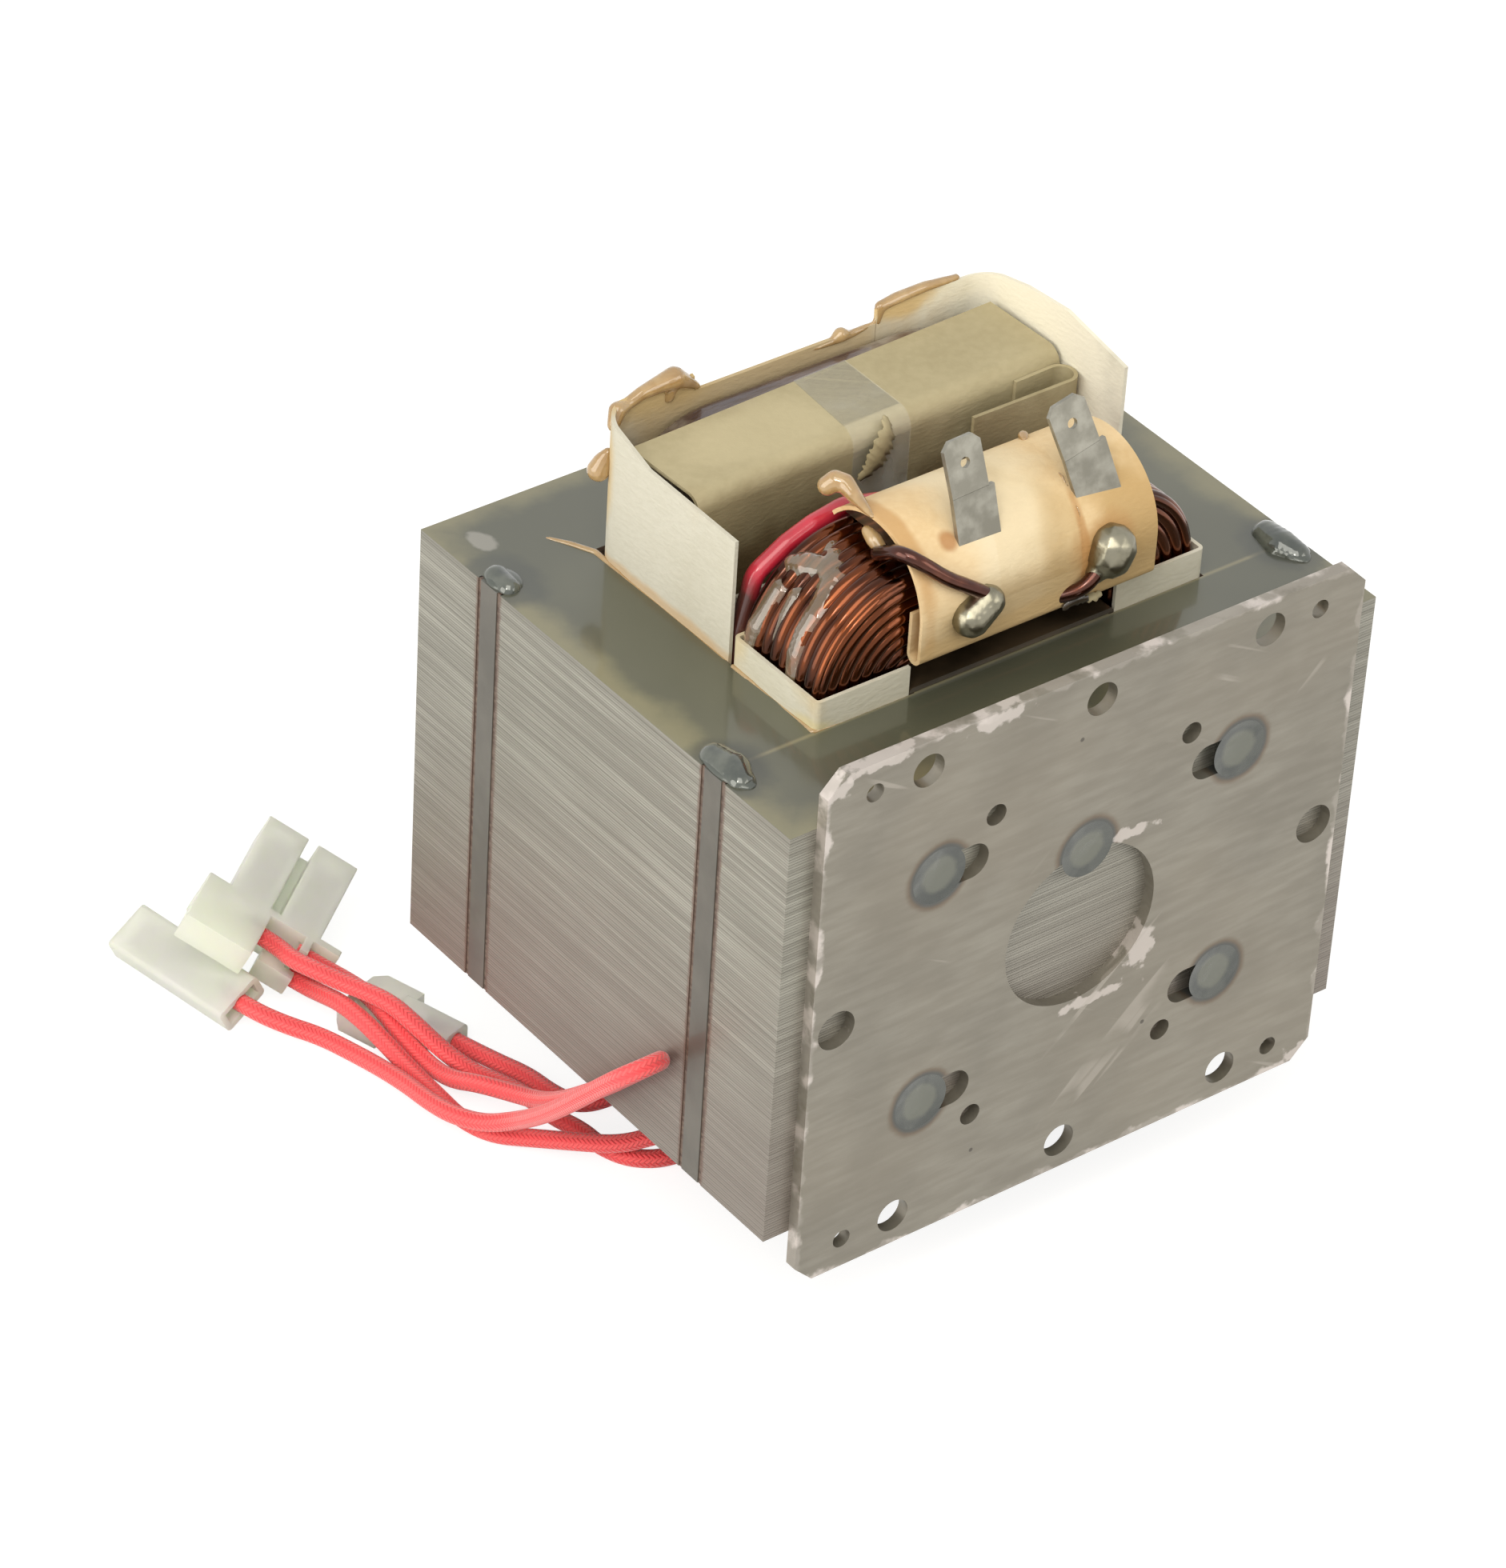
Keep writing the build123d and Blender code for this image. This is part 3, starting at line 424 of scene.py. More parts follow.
# %% Whole sheets above and below
film = use(tree, "patches", Vector=place, Scale=28, Detail=3, Low=0.35, High=0.75)
sheet = mixed(tree, film[0], (0.08, 0.083, 0.055), (0.115, 0.117, 0.078))
half_bar = 0.00875
rim = use(
    tree, "rubbed edges", Vector=place, Centre=(0, (core_low.y + core_high.y) / 2 - half_bar, 0),
    Half_size=(core_high.x, (core_high.y - core_low.y) / 2 + half_bar, 1), Axes=(1, 1, 0),
    Width=0.006, Ragged=0.011, Grain=90,
)
sheet = laid(tree, sheet, (0.245, 0.225, 0.125), rim[0], 0.75)
from_joint = sums(tree, "ABSOLUTE", sums(tree, "SUBTRACT", level[1], joint))
sheet = laid(tree, sheet, (0.27, 0.24, 0.14), ramp(tree, from_joint, 0.0006, 0.0), 0.7)
for x in (-50, 50):
    for row in seam_rows:
        sheet = stain_and_painted_light(tree, place, sheet, (0.05, 0.055, 0.042), 0.8, (x, row * 1000, 91.9), (5.6, 7, 5),
                      Soft=0.25, Ragged=0.5, Grain=260)
sheet = stain_and_painted_light(tree, place, sheet, (0.3, 0.29, 0.26), 0.8, (-46.8, 37.6, 91.9), (1.8, 2.6, 3),
              Soft=0.2, Ragged=1.2)
wire(tree, mixed(tree, flat, cut, sheet), shader["Base Color"])
wire(tree, sums(tree, "MULTIPLY", flat, 0.85), shader["Coat Weight"])
wire(tree, ramp(tree, flat, 0.0, 1.0, 0.42, 0.38), shader["Roughness"])
wire(tree, ramp(tree, flat, 0.0, 1.0, 0.5, 0.1), shader["Metallic"])
edge_height = sums(tree, "MULTIPLY", lines["Groove"], sums(tree, "SUBTRACT", 1.0, flat))
ripple = add(tree, "ShaderNodeTexNoise", Vector=place, Scale=60, Detail=2)
relief(tree, shader, sums(tree, "MULTIPLY_ADD", ripple.outputs[0], 0.6, edge_height), 0.00006, 0.8)
dress(core, "e_laminations", "i_laminations", "shunt_left", "shunt_right")

# %% [markdown]
# ### Base plate
# The plate is bare punched steel. It has a taupe, mottled face, edges scuffed pinkish white, long
# scratches, and round each puddle a dark ring with a brown rim, where the heat of welding ran.

# %% Base plate
plate_low, plate_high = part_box("base_plate")
plate, tree, shader, place = finish("punched_plate", 0.42, 0.65)
brushed = use(tree, "patches", Vector=place, Stretch=(0.25, 1, 1.6), Scale=420, Detail=5, Low=0.3, High=0.75)
mottle = use(tree, "patches", Vector=place, Scale=70, Detail=6, Low=0.3, High=0.72)
broad = use(tree, "patches", Vector=place, Scale=24, Detail=4, Low=0.4, High=0.7)
skin = mixed(tree, brushed[0], (0.245, 0.225, 0.185), (0.3, 0.28, 0.235))
skin = laid(tree, skin, (0.215, 0.2, 0.17), mottle[0], 0.45)
skin = laid(tree, skin, (0.29, 0.255, 0.2), broad[0], 0.3)
plugs = ["plug_weld_" + name for name in ("lower_left", "lower_right", "upper_left", "upper_right", "window")]
for name in plugs:
    low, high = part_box(name)
    middle = (low + high) / 2 / mm
    skin = stain_and_painted_light(tree, place, skin, (0.15, 0.105, 0.07), 0.75, middle, (5.7, 20, 5.7), Soft=0.1, Ragged=0.15)
    skin = stain_and_painted_light(tree, place, skin, (0.1, 0.108, 0.105), 0.9, middle, (5.1, 20, 5.1), Soft=0.08, Ragged=0.1)

# %% Wear on the base plate
worn = use(
    tree, "rubbed edges", Vector=place, Centre=(plate_low + plate_high) / 2,
    Half_size=(plate_high - plate_low) / 2, Axes=(1, 0, 1), Width=0.0008, Ragged=0.005, Grain=240,
)
scuffs = use(tree, "patches", Vector=place, Scale=160, Detail=6, Low=0.5, High=0.62)
rubbed = (0.66, 0.6, 0.56)
skin = laid(tree, skin, rubbed, worn[0], sums(tree, "MULTIPLY_ADD", scuffs[0], 0.7, 0.2))
middle = Vector((0, plate_low.y, (plate_low.z + plate_high.z) / 2)) / mm
for centre, radii in (
    (middle + Vector((11.5, 0, -9.5)), (2.4, 5, 3.6)),
    (middle + Vector((2.2, 0, -14.8)), (4.2, 5, 0.9)),
    (middle + Vector((8.5, 0, 13.2)), (3.2, 5, 1.1)),
    ((-18, -44.7, 99.8), (4.6, 5, 1.3)),
    ((-39, -44.7, 100.4), (5.5, 5, 1.0)),
    ((-46.5, -44.7, 98.5), (2.6, 5, 1.6)),
    ((46, -44.7, 12.6), (3.5, 5, 1.6)),
):
    skin = stain_and_painted_light(tree, place, skin, rubbed, 0.7, centre, radii, Soft=0.2, Ragged=3.4, Grain=420)
for angle, grain in ((-0.5, 330), (0.75, 260)):
    marks = use(tree, "scratches", Vector=place, Angle=angle, Scale=grain)
    skin = laid(tree, skin, (0.47, 0.43, 0.38), marks[0], 0.5)
for centre in ((14.0, -44.7, 32.5), (-16.8, -44.7, 22.5), (-3.0, -44.7, 90.0)):
    skin = stain_and_painted_light(tree, place, skin, (0.08, 0.07, 0.06), 0.8, centre, (0.35, 5, 0.35), Soft=0.3)
wire(tree, skin, shader["Base Color"])
wire(tree, ramp(tree, mottle[0], 0.0, 1.0, 0.34, 0.5), shader["Roughness"])
relief(tree, shader, brushed[0], 0.00003, 0.6)
dress(plate, "base_plate")

# %% [markdown]
# ### Weld metal
# The seams are dull grey strips that end in a dark glassy puddle on top. The plate's puddles have
# a paler bowl inside a blue-grey ring.

# %% Weld metal
seam, tree, shader, place = finish("seam_metal", 0.42, 0.35, Coat_Roughness=0.06)
level = add(tree, "ShaderNodeSeparateXYZ", Vector=place).outputs[2]
pooled = ramp(tree, level, core_high.z - 0.0002, core_high.z + 0.0002)
ripples = use(tree, "patches", Vector=place, Stretch=(1, 1, 0.8), Scale=120, Detail=4, Low=0.3, High=0.7)
strip = mixed(tree, ripples[0], (0.1, 0.093, 0.078), (0.138, 0.128, 0.108))
wire(tree, mixed(tree, pooled, strip, (0.065, 0.075, 0.062)), shader["Base Color"])
wire(tree, sums(tree, "MULTIPLY_ADD", pooled, 0.8, 0.15), shader["Coat Weight"])
relief(tree, shader, ripples[0], 0.00008, 0.6)
seams = [name for name in nodes if name.startswith("seam_weld")]
dress(seam, *seams)

puddle, tree, shader, place = finish("puddle_metal", 0.26, 0.5, Coat_Weight=0.7, Coat_Roughness=0.08)
grit = use(tree, "patches", Vector=place, Scale=240, Detail=4)
skin = mixed(tree, grit[0], (0.05, 0.056, 0.05), (0.078, 0.084, 0.074))
for name in plugs:
    low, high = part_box(name)
    middle = (low + high) / 2 / mm
    skin = stain_and_painted_light(tree, place, skin, (0.14, 0.145, 0.113), 0.8, middle, (2.9, 20, 2.9), Soft=0.18, Ragged=0.5)
wire(tree, skin, shader["Base Color"])
relief(tree, shader, use(tree, "patches", Vector=place, Scale=150, Detail=2)[0], 0.0002, 0.7)
dress(puddle, *plugs)

# %% [markdown]
# ### Papers
# Four insulating papers share one recipe: a fibre grain, soft clouds of tone, amber stains
# where varnish soaked in, and spots of other colour, some of them painted light and painted shade. Only
# colours and spot places differ, so one function makes them all.
# A scanned sheet would bring its own light along; this recipe takes most of its light from the room, apart
# from those painted spots.

# %% Recipe for a paper
def paper(name, pale, deep, soak, stained, roughness=0.75, spots=()):
    """A paper finish; stained is the share that varnish has soaked, and spots add varnish stains, painted
    light and painted shade.
    """
    material, tree, shader, place = finish(name, roughness)
    fibres = use(tree, "patches", Vector=place, Stretch=(1, 1, 2.5), Scale=700, Detail=5, Low=0.25, High=0.75)
    clouds = use(tree, "patches", Vector=place, Scale=45, Detail=5, Low=0.3, High=0.7)
    soaked = use(tree, "patches", Vector=place, Scale=38, Detail=4, Low=0.66 - stained, High=0.78 - stained)
    tone = sums(tree, "MULTIPLY_ADD", fibres[0], 0.35, sums(tree, "MULTIPLY", clouds[0], 0.5))
    colour = mixed(tree, tone, pale, deep)
    colour = laid(tree, colour, soak, soaked[0], 0.6)
    for over, strength, centre, radii in spots:
        colour = stain_and_painted_light(tree, place, colour, over, strength, centre, radii, Soft=0.4, Ragged=0.9, Grain=160)
    wire(tree, colour, shader["Base Color"])
    wire(tree, ramp(tree, soaked[0], 0.0, 1.0, roughness, 0.35), shader["Roughness"])
    relief(tree, shader, fibres[0], 0.00005, 0.7)
    return material


# %% The papers
amber = (0.55, 0.33, 0.12)
foot_line = core_high.z / mm
cream = paper("cream_paper", (0.62, 0.6, 0.515), (0.53, 0.505, 0.41), (0.6, 0.42, 0.2), 0.0, spots=[
    # painted light: the right fence is laid much paler all over, for light that shines through the thin paper
    ((0.9, 0.86, 0.72), 1.0, (34, 20, 108), (22, 30, 24)),
    (amber, 0.55, (-34.9, 11, foot_line), (1.5, 22, 1.6)),
    ((0.62, 0.45, 0.2), 0.85, (-24, 26.9, 116), (9, 2, 4.5)),
    ((0.62, 0.45, 0.2), 0.7, (-34.5, 26, 106), (2.2, 2.6, 8)),
    ((0.5, 0.36, 0.17), 0.75, (-6, 26.9, 110), (30, 2.6, 9)),
    ((0.7, 0.5, 0.22), 0.8, (19, 26.9, 116), (7, 2, 3.0)),
])
liner = paper("liner_paper", (0.7, 0.675, 0.575), (0.6, 0.57, 0.45), (0.6, 0.45, 0.22), 0.05, 0.45, spots=[
    ((0.7, 0.6, 0.3), 0.6, (-34.9, -24, foot_line), (3, 4, 1.6)),
    ((0.68, 0.55, 0.3), 0.6, (-33, -6, 96), (4, 3, 4)),
])
kraft = paper("kraft_paper", (0.47, 0.41, 0.255), (0.37, 0.315, 0.185), (0.3, 0.23, 0.11), 0.06, spots=[
    # painted shade: the kraft's front face, in the narrow gap behind the primary, darkens downwards to near
    # black
    ((0.27, 0.22, 0.115), 0.85, (0, 4.2, 103), (80, 3.4, 9)),
    ((0.13, 0.085, 0.03), 0.95, (0, 4.2, 94), (80, 4.4, 9)),
    ((0.56, 0.49, 0.31), 0.6, (-16, 14, 112.4), (12, 7, 1.5)),
])
warm = paper("warm_paper", (0.86, 0.68, 0.42), (0.74, 0.53, 0.28), (0.52, 0.29, 0.1), 0.04, 0.6, spots=[
    # painted light: the paler patch on the pad's top, with the paler look of the paper under the tape
    ((0.84, 0.73, 0.52), 0.8, (-1, -15, 112), (9, 22, 11)),
    ((0.6, 0.43, 0.2), 0.5, (7, -26, 107), (4, 6, 12)),
    # darker and browner towards the right end: partly a varnish stain, partly painted shade where the pad
    # falls away from the light
    ((0.5, 0.32, 0.12), 0.85, (20, -24, 105), (9, 9, 12)),
    ((0.5, 0.36, 0.18), 0.7, (2, -28, 100), (22, 5, 7)),
    ((0.55, 0.3, 0.1), 0.7, (-17.5, -15.5, 110), (1.6, 14, 16)),
    ((0.5, 0.25, 0.08), 0.7, (10.2, -26, 105), (0.8, 6, 10)),
    ((0.5, 0.25, 0.08), 0.6, (13.5, -27.4, 106), (5, 3, 5)),
    ((0.45, 0.2, 0.06), 0.8, (-11.5, -22.8, 113.9), (1.4, 1.6, 1.4)),
    ((0.6, 0.42, 0.2), 0.7, (2, -27.4, 99), (24, 4, 2.4)),
])
dress(cream, "fence_left", "fence_right", "shunt_paper_left", "shunt_paper_right")
dress(liner, "primary_liner_left", "primary_liner_right")
dress(kraft, "crown_paper", "paper_curl", "lower_paper")
dress(warm, "terminal_pad")

# %% [markdown]
# ### Soaked paper
# The sleeve on the middle leg and the inner turns of the pad lie in the coil's shade and are full
# of varnish, so they are nearly black. Their fibres don't show, so two dark tones will do.

# %% Soaked paper
brown, tree, shader, place = finish("soaked_paper", 0.3, 0.0, Coat_Weight=0.5)
mottled(tree, shader, place, (0.028, 0.02, 0.012), (0.075, 0.052, 0.03),
        Scale=150, Detail=4, Low=0.3, High=0.7)
dress(brown, "leg_sleeve", "pad_filler")

# %% [markdown]
# ### Windings
# The primary's wire is copper seen through dark red-brown enamel, with varnish over it, so it is
# a metal with a clear coat. The fine wire behind it is buried in dark varnish under torn tape.

# %% Windings
copper, tree, shader, place = finish("enamelled_copper", 0.2, 1.0, Coat_Weight=0.38, Coat_Roughness=0.05)
mottled(tree, shader, place, (0.03, 0.007, 0.002), (0.18, 0.045, 0.01),
        Stretch=(0.5, 3, 0.5), Scale=120, Detail=3, Low=0.3, High=0.7)
dress(copper, "primary_winding")

bared, tree, shader, place = finish("lead_copper", 0.25, 1.0, Coat_Weight=0.6, Coat_Roughness=0.06)
mottled(tree, shader, place, (0.05, 0.013, 0.008), (0.16, 0.05, 0.025),
        Scale=160, Detail=3, Low=0.3, High=0.7)
dress(bared, "primary_lead_left", "primary_lead_right")

dark, tree, shader, place = finish("varnished_winding", 0.3, 0.0, Coat_Weight=1.0, Coat_Roughness=0.07)
bands = use(tree, "patches", Vector=place, Stretch=(0.3, 1, 1), Scale=160, Detail=5, Low=0.35, High=0.7)
tapes = use(tree, "patches", Vector=place, Stretch=(1, 1.6, 1), Scale=70, Detail=5, Low=0.5, High=0.62)
body = mixed(tree, bands[0], (0.035, 0.018, 0.02), (0.12, 0.075, 0.06))
upper_end = ramp(tree, add(tree, "ShaderNodeSeparateXYZ", Vector=place).outputs[2], 0.1, 0.108)
torn = laid(tree, body, (0.36, 0.32, 0.26), tapes[0], sums(tree, "MULTIPLY", upper_end, 0.75))
wire(tree, torn, shader["Base Color"])
relief(tree, shader, bands[0], 0.0006, 0.9)
dress(dark, "secondary_winding")

# %% [markdown]
# ### Metal fittings and solder
# The blades are tin-plated brass, dull and a little warm. Solder is the same colour but has set
# from a liquid, so it is smoother.

# %% Fittings and solder
tin, tree, shader, place = finish("tinned_metal", 0.46, 0.9)
worn_tin = mottled(tree, shader, place, (0.27, 0.258, 0.215), (0.4, 0.385, 0.33),
                   Scale=350, Detail=5, Low=0.35, High=0.7)
relief(tree, shader, worn_tin, 0.00003, 0.6)
dress(tin, "tab_left", "tab_right", "twin_receptacle_left", "twin_receptacle_right", "flat_receptacle")

solder, tree, shader, place = finish("solder", 0.3, 1.0)
frost = mottled(tree, shader, place, (0.3, 0.28, 0.21), (0.22, 0.205, 0.15),
                Scale=500, Detail=4, Low=0.4, High=0.75)
relief(tree, shader, frost, 0.00005, 0.5)
dress(solder, "solder_left", "solder_right")

# %% [markdown]
# ### Clear tape
# Tape is a thin glossy film that mostly shows what is under it. Glass of that thickness would be
# slow to trace, so a low alpha lets the paper through, and only on the side that faces out, or
# the two skins of the film would darken it twice.

# %% Clear tape
clear, tree, shader, place = finish("clear_tape", 0.16, 0.0, Base_Color=(0.93, 0.95, 0.9))
bubbles = use(tree, "patches", Vector=place, Scale=90, Detail=4, Low=0.4, High=0.75)
outside = sums(tree, "SUBTRACT", 1.0, tree.nodes.new("ShaderNodeNewGeometry").outputs["Backfacing"])
wire(tree, sums(tree, "MULTIPLY", ramp(tree, bubbles[0], 0.0, 1.0, 0.14, 0.34), outside), shader["Alpha"])
relief(tree, shader, bubbles[0], 0.0002, 0.5)
dress(clear, "crown_tape")

# %% [markdown]
# ### Varnish
# Set varnish is amber and half clear where it is thick, nearly clear on the copper, and dark and
# glassy over the welds. All three are the same glossy body with a different share of clearness.

# %% Varnish
syrup, tree, shader, place = finish(
    "amber_varnish", 0.08, 0.0, Transmission_Weight=0.35, IOR=1.5, Coat_Weight=1.0, Coat_Roughness=0.03,
)
mottled(tree, shader, place, (0.5, 0.31, 0.12), (0.66, 0.46, 0.22), Scale=300, Detail=3, Low=0.3, High=0.7)

glaze, tree, shader, place = finish(
    "clear_varnish", 0.03, 0.0, Transmission_Weight=0.85, IOR=1.5, Coat_Weight=1.0, Coat_Roughness=0.02,
)
mottled(tree, shader, place, (0.78, 0.52, 0.28), (0.93, 0.74, 0.5), Scale=220, Detail=2, Low=0.3, High=0.7)

pool, tree, shader, place = finish("weld_pool", 0.12, 0.2, Coat_Weight=1.0, Coat_Roughness=0.03)
mottled(tree, shader, place, (0.05, 0.06, 0.052), (0.11, 0.12, 0.1), Scale=300, Detail=3, Low=0.3, High=0.7)

# %% [markdown]
# ### Nylon
# The housings are moulded from natural nylon, milky and faintly green. Light enters it, scatters
# and leaves again, so it needs subsurface scattering, and a share of it goes straight through.

# %% Nylon
nylon, tree, shader, place = finish(
    "milky_nylon", 0.42, 0.0, Subsurface_Weight=0.6, Subsurface_Radius=(0.008, 0.01, 0.006),
    Transmission_Weight=0.3, Subsurface_Scale=1.0, IOR=1.4,
)
milk = mottled(tree, shader, place, (0.91, 0.975, 0.79), (0.96, 0.995, 0.87),
               Scale=90, Detail=3, Low=0.3, High=0.7)
relief(tree, shader, milk, 0.0001, 0.4)
dress(nylon, "twin_housing", "flat_housing", "tongue_housing")

# %% [markdown]
# ### Red insulation and braid
# The filament turn is smooth red wire, and its lower left end is laid nearly black as painted shade where it
# runs down beside the winding. The leads wear a
# woven sleeve: one way of threads is painted brighter than the other as painted light, and the gaps between
# them are deep, with painted shade in them.

# %% Red insulation and braid
red, tree, shader, place = finish("red_insulation", 0.3, 0.0, Coat_Weight=0.6)
tint = use(tree, "patches", Vector=place, Scale=80, Detail=3, Low=0.3, High=0.7)
sleeve = mixed(tree, tint[0], (0.42, 0.015, 0.03), (0.62, 0.03, 0.06))
# painted shade: the filament's lower left end, beside the winding, goes nearly black
sleeve = stain_and_painted_light(tree, place, sleeve, (0.05, 0.02, 0.013), 0.95, (-34.5, -4.3, 96), (4.6, 8, 9.5),
               Soft=0.25, Ragged=0.5)
wire(tree, sleeve, shader["Base Color"])
dress(red, "filament_winding")

braided, tree, shader, place = finish("red_braid", 0.6, 0.0, Sheen_Weight=0.5, Sheen_Tint=(1, 0.8, 0.8))
tube_map = tree.nodes["Texture Coordinate"].outputs["UV"]
threads = use(tree, "braid", Vector=tube_map, Threads=12, Along=12)
# painted light: the threads of one way are laid brighter than those of the other
body = mixed(tree, threads["Tone"], (0.93, 0.075, 0.085), (1.0, 0.12, 0.125))
# painted shade in the gaps between the threads
shade = sums(tree, "SUBTRACT", 1.0, threads["Height"])
wire(tree, laid(tree, body, (0.66, 0.025, 0.04), shade, 0.35), shader["Base Color"])
relief(tree, shader, threads["Height"], 0.0001, 1.0)
dress(braided, "filament_lead_low", "filament_lead_high", "jumper_lead", "secondary_lead")

# %% [markdown]
# ## The red leads
# Four leads come out from under the core and end in nylon housings on the floor. Each follows
# one smooth curve, laid through listed points: a cord is stiff, so it never turns sharply.
# A curve with a round bevel would do for a plain cord. Here the tube is built from the curve's
# own points, so that its map measures real turns and the braid keeps its pitch round each bend.

# %% Routes of the leads
lead_diameter = 0.0028
routes = {
    "filament_lead_low": [
        (-0.0246, -0.0032, 0.0015), (-0.0296, -0.0031, 0.0015), (-0.0350, -0.0028, 0.0015),
        (-0.0398, -0.0020, 0.0015), (-0.0434, 0.0008, 0.0015), (-0.0452, 0.0051, 0.0015),
        (-0.0454, 0.0099, 0.0015), (-0.0470, 0.0145, 0.0015), (-0.0472, 0.0195, 0.0015),
        (-0.0486, 0.0243, 0.0015), (-0.0510, 0.0293, 0.0016), (-0.0532, 0.0341, 0.0034),
        (-0.0551, 0.0389, 0.0062), (-0.0564, 0.0437, 0.0078), (-0.0583, 0.0485, 0.0079),
        (-0.0602, 0.0521, 0.0081), (-0.0623, 0.0555, 0.0089), (-0.06365, 0.0592, 0.0089),
        (-0.06375, 0.0632, 0.0090), (-0.06605, 0.06615, 0.0108),
    ],
    "filament_lead_high": [
        (-0.0333, -0.0042, 0.0083), (-0.0372, -0.0036, 0.0076), (-0.0412, -0.0019, 0.0064),
        (-0.0454, 0.0008, 0.0049),
        (-0.0494, 0.0056, 0.0040), (-0.0534, 0.0116, 0.0024), (-0.0570, 0.0162, 0.0015),
        (-0.0588, 0.0218, 0.0015), (-0.0586, 0.0279, 0.0015), (-0.0587, 0.0341, 0.0017),
        (-0.0594, 0.0393, 0.0033), (-0.0602, 0.0447, 0.0050), (-0.0605, 0.0507, 0.0049),
        (-0.0606, 0.0555, 0.0034), (-0.0612, 0.0593, 0.0027), (-0.0631, 0.0617, 0.0042),
    ],
    "jumper_lead": [
        (-0.0614, 0.0618, 0.0078), (-0.0590, 0.0588, 0.0060), (-0.0570, 0.0553, 0.0050),
        (-0.0559, 0.0507, 0.0048), (-0.0565, 0.0449, 0.0050), (-0.0563, 0.0395, 0.0032),
        (-0.0556, 0.0343, 0.0016), (-0.0554, 0.0289, 0.0026), (-0.0544, 0.0237, 0.0050),
        (-0.0520, 0.0182, 0.0058), (-0.0514, 0.0125, 0.0080), (-0.0526, 0.0067, 0.0124),
        (-0.0540, 0.0001, 0.0184), (-0.0540, -0.0067, 0.0249), (-0.0540, -0.0113, 0.0298),
        (-0.0540, -0.0157, 0.0345), (-0.0543, -0.0199, 0.0390), (-0.0565, -0.0214, 0.0405),
        (-0.0595, -0.0214, 0.0405), (-0.0616, -0.0199, 0.0390), (-0.0617, -0.0160, 0.0348),
        (-0.0614, -0.0095, 0.0276), (-0.0602, -0.0027, 0.0204), (-0.0584, 0.0043, 0.0136),
        (-0.0570, 0.0101, 0.0084), (-0.0590, 0.0151, 0.0052), (-0.0613, 0.0201, 0.0044),
        (-0.0617, 0.0257, 0.0034), (-0.0616, 0.0317, 0.0026), (-0.0623, 0.0380, 0.0020),
        (-0.0634, 0.0437, 0.0015), (-0.0653, 0.0491, 0.0017), (-0.0691, 0.0534, 0.0028),
        (-0.0720, 0.0579, 0.0039), (-0.07285, 0.0626, 0.0039),
    ],
    "secondary_lead": [
        (-0.0290, 0.0128, 0.0050), (-0.0334, 0.0127, 0.0036), (-0.0380, 0.0130, 0.0020),
        (-0.0424, 0.0148, 0.0015), (-0.0440, 0.0190, 0.0015), (-0.0446, 0.0245, 0.0015),
        (-0.0468, 0.0296, 0.0017), (-0.0491, 0.0352, 0.0022), (-0.0507, 0.0405, 0.0022),
    ],
}
print("Leads:", len(routes))

# %% Turn scratch shapes into meshes
def from_bmesh(name, mesh):
    """Writes a bmesh out as an object of the scene."""
    data = bpy.data.meshes.new(name)
    mesh.to_mesh(data)
    mesh.free()
    return linked(name, data)


def applied(obj):
    """Returns the object's mesh as its modifiers leave it."""
    bpy.context.view_layer.update()
    return bpy.data.meshes.new_from_object(obj.evaluated_get(bpy.context.evaluated_depsgraph_get()))


# %% Read points from a smooth curve
def smooth_line(name, points):
    """Lays an open NURBS curve through control points and returns the points that it follows."""
    curve = bpy.data.curves.new(name, "CURVE")
    curve.dimensions = "3D"
    curve.resolution_u = 10
    spline = curve.splines.new("NURBS")
    spline.points.add(len(points) - 1)
    for point, place in zip(spline.points, points):
        point.co = (*place, 1)
    spline.order_u = 3
    spline.use_endpoint_u = True
    line_object = linked(name, curve)
    line = [vertex.co.copy() for vertex in applied(line_object).vertices]
    bpy.data.objects.remove(line_object)
    return line


# %% Build the braided tubes
def braided_tube(name, line, diameter, sides=20):
    """A round tube along the line; its map counts turns round the tube and lengths along it."""
    mesh = bmesh.new()
    map_layer = mesh.loops.layers.uv.new("turns")
    side = (line[1] - line[0]).cross(Vector((0, 0, 1))).normalized()
    rings = []
    travelled = []
    far = 0.0
    for i, place in enumerate(line):
        ahead = (line[min(i + 1, len(line) - 1)] - line[max(i - 1, 0)]).normalized()
        side = (side - ahead * side.dot(ahead)).normalized()
        up = ahead.cross(side)
        far += (place - line[i - 1]).length if i else 0.0
        travelled.append(far)
        turns = [math.tau * k / sides for k in range(sides)]
        outward = [side * math.cos(a) + up * math.sin(a) for a in turns]
        rings.append([mesh.verts.new(place + out * diameter / 2) for out in outward])
    for i in range(len(rings) - 1):
        for k in range(sides):
            n = (k + 1) % sides
            face = mesh.faces.new((rings[i][k], rings[i][n], rings[i + 1][n], rings[i + 1][k]))
            face.smooth = True
            corners = ((k, i), (k + 1, i), (k + 1, i + 1), (k, i + 1))
            for loop, (turned, ring) in zip(face.loops, corners):
                loop[map_layer].uv = (turned / sides, travelled[ring] / (math.pi * diameter))
    for ring in (list(reversed(rings[0])), rings[-1]):
        mesh.faces.new(ring)
    bmesh.ops.recalc_face_normals(mesh, faces=mesh.faces)
    return from_bmesh(name, mesh), travelled[-1]


# %% Lay the leads
for name, points in routes.items():
    line = smooth_line(name + "_line", points)
    tube, reach = braided_tube("braided_" + name, line, lead_diameter)
    tube.data.materials.append(braided)
    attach(tube, "root")
    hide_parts(name)
    print(name, round(reach * 1000, 1), "mm")

# %% [markdown]
# ## Hardened varnish
# The coils were dipped in varnish, which ran, dripped and set. Such lumps have no edges, so they
# are made as chains of balls that are melted into one skin. Modelling them by hand would be
# slower and no truer, because each one only has to sit and hang where the photograph shows it.

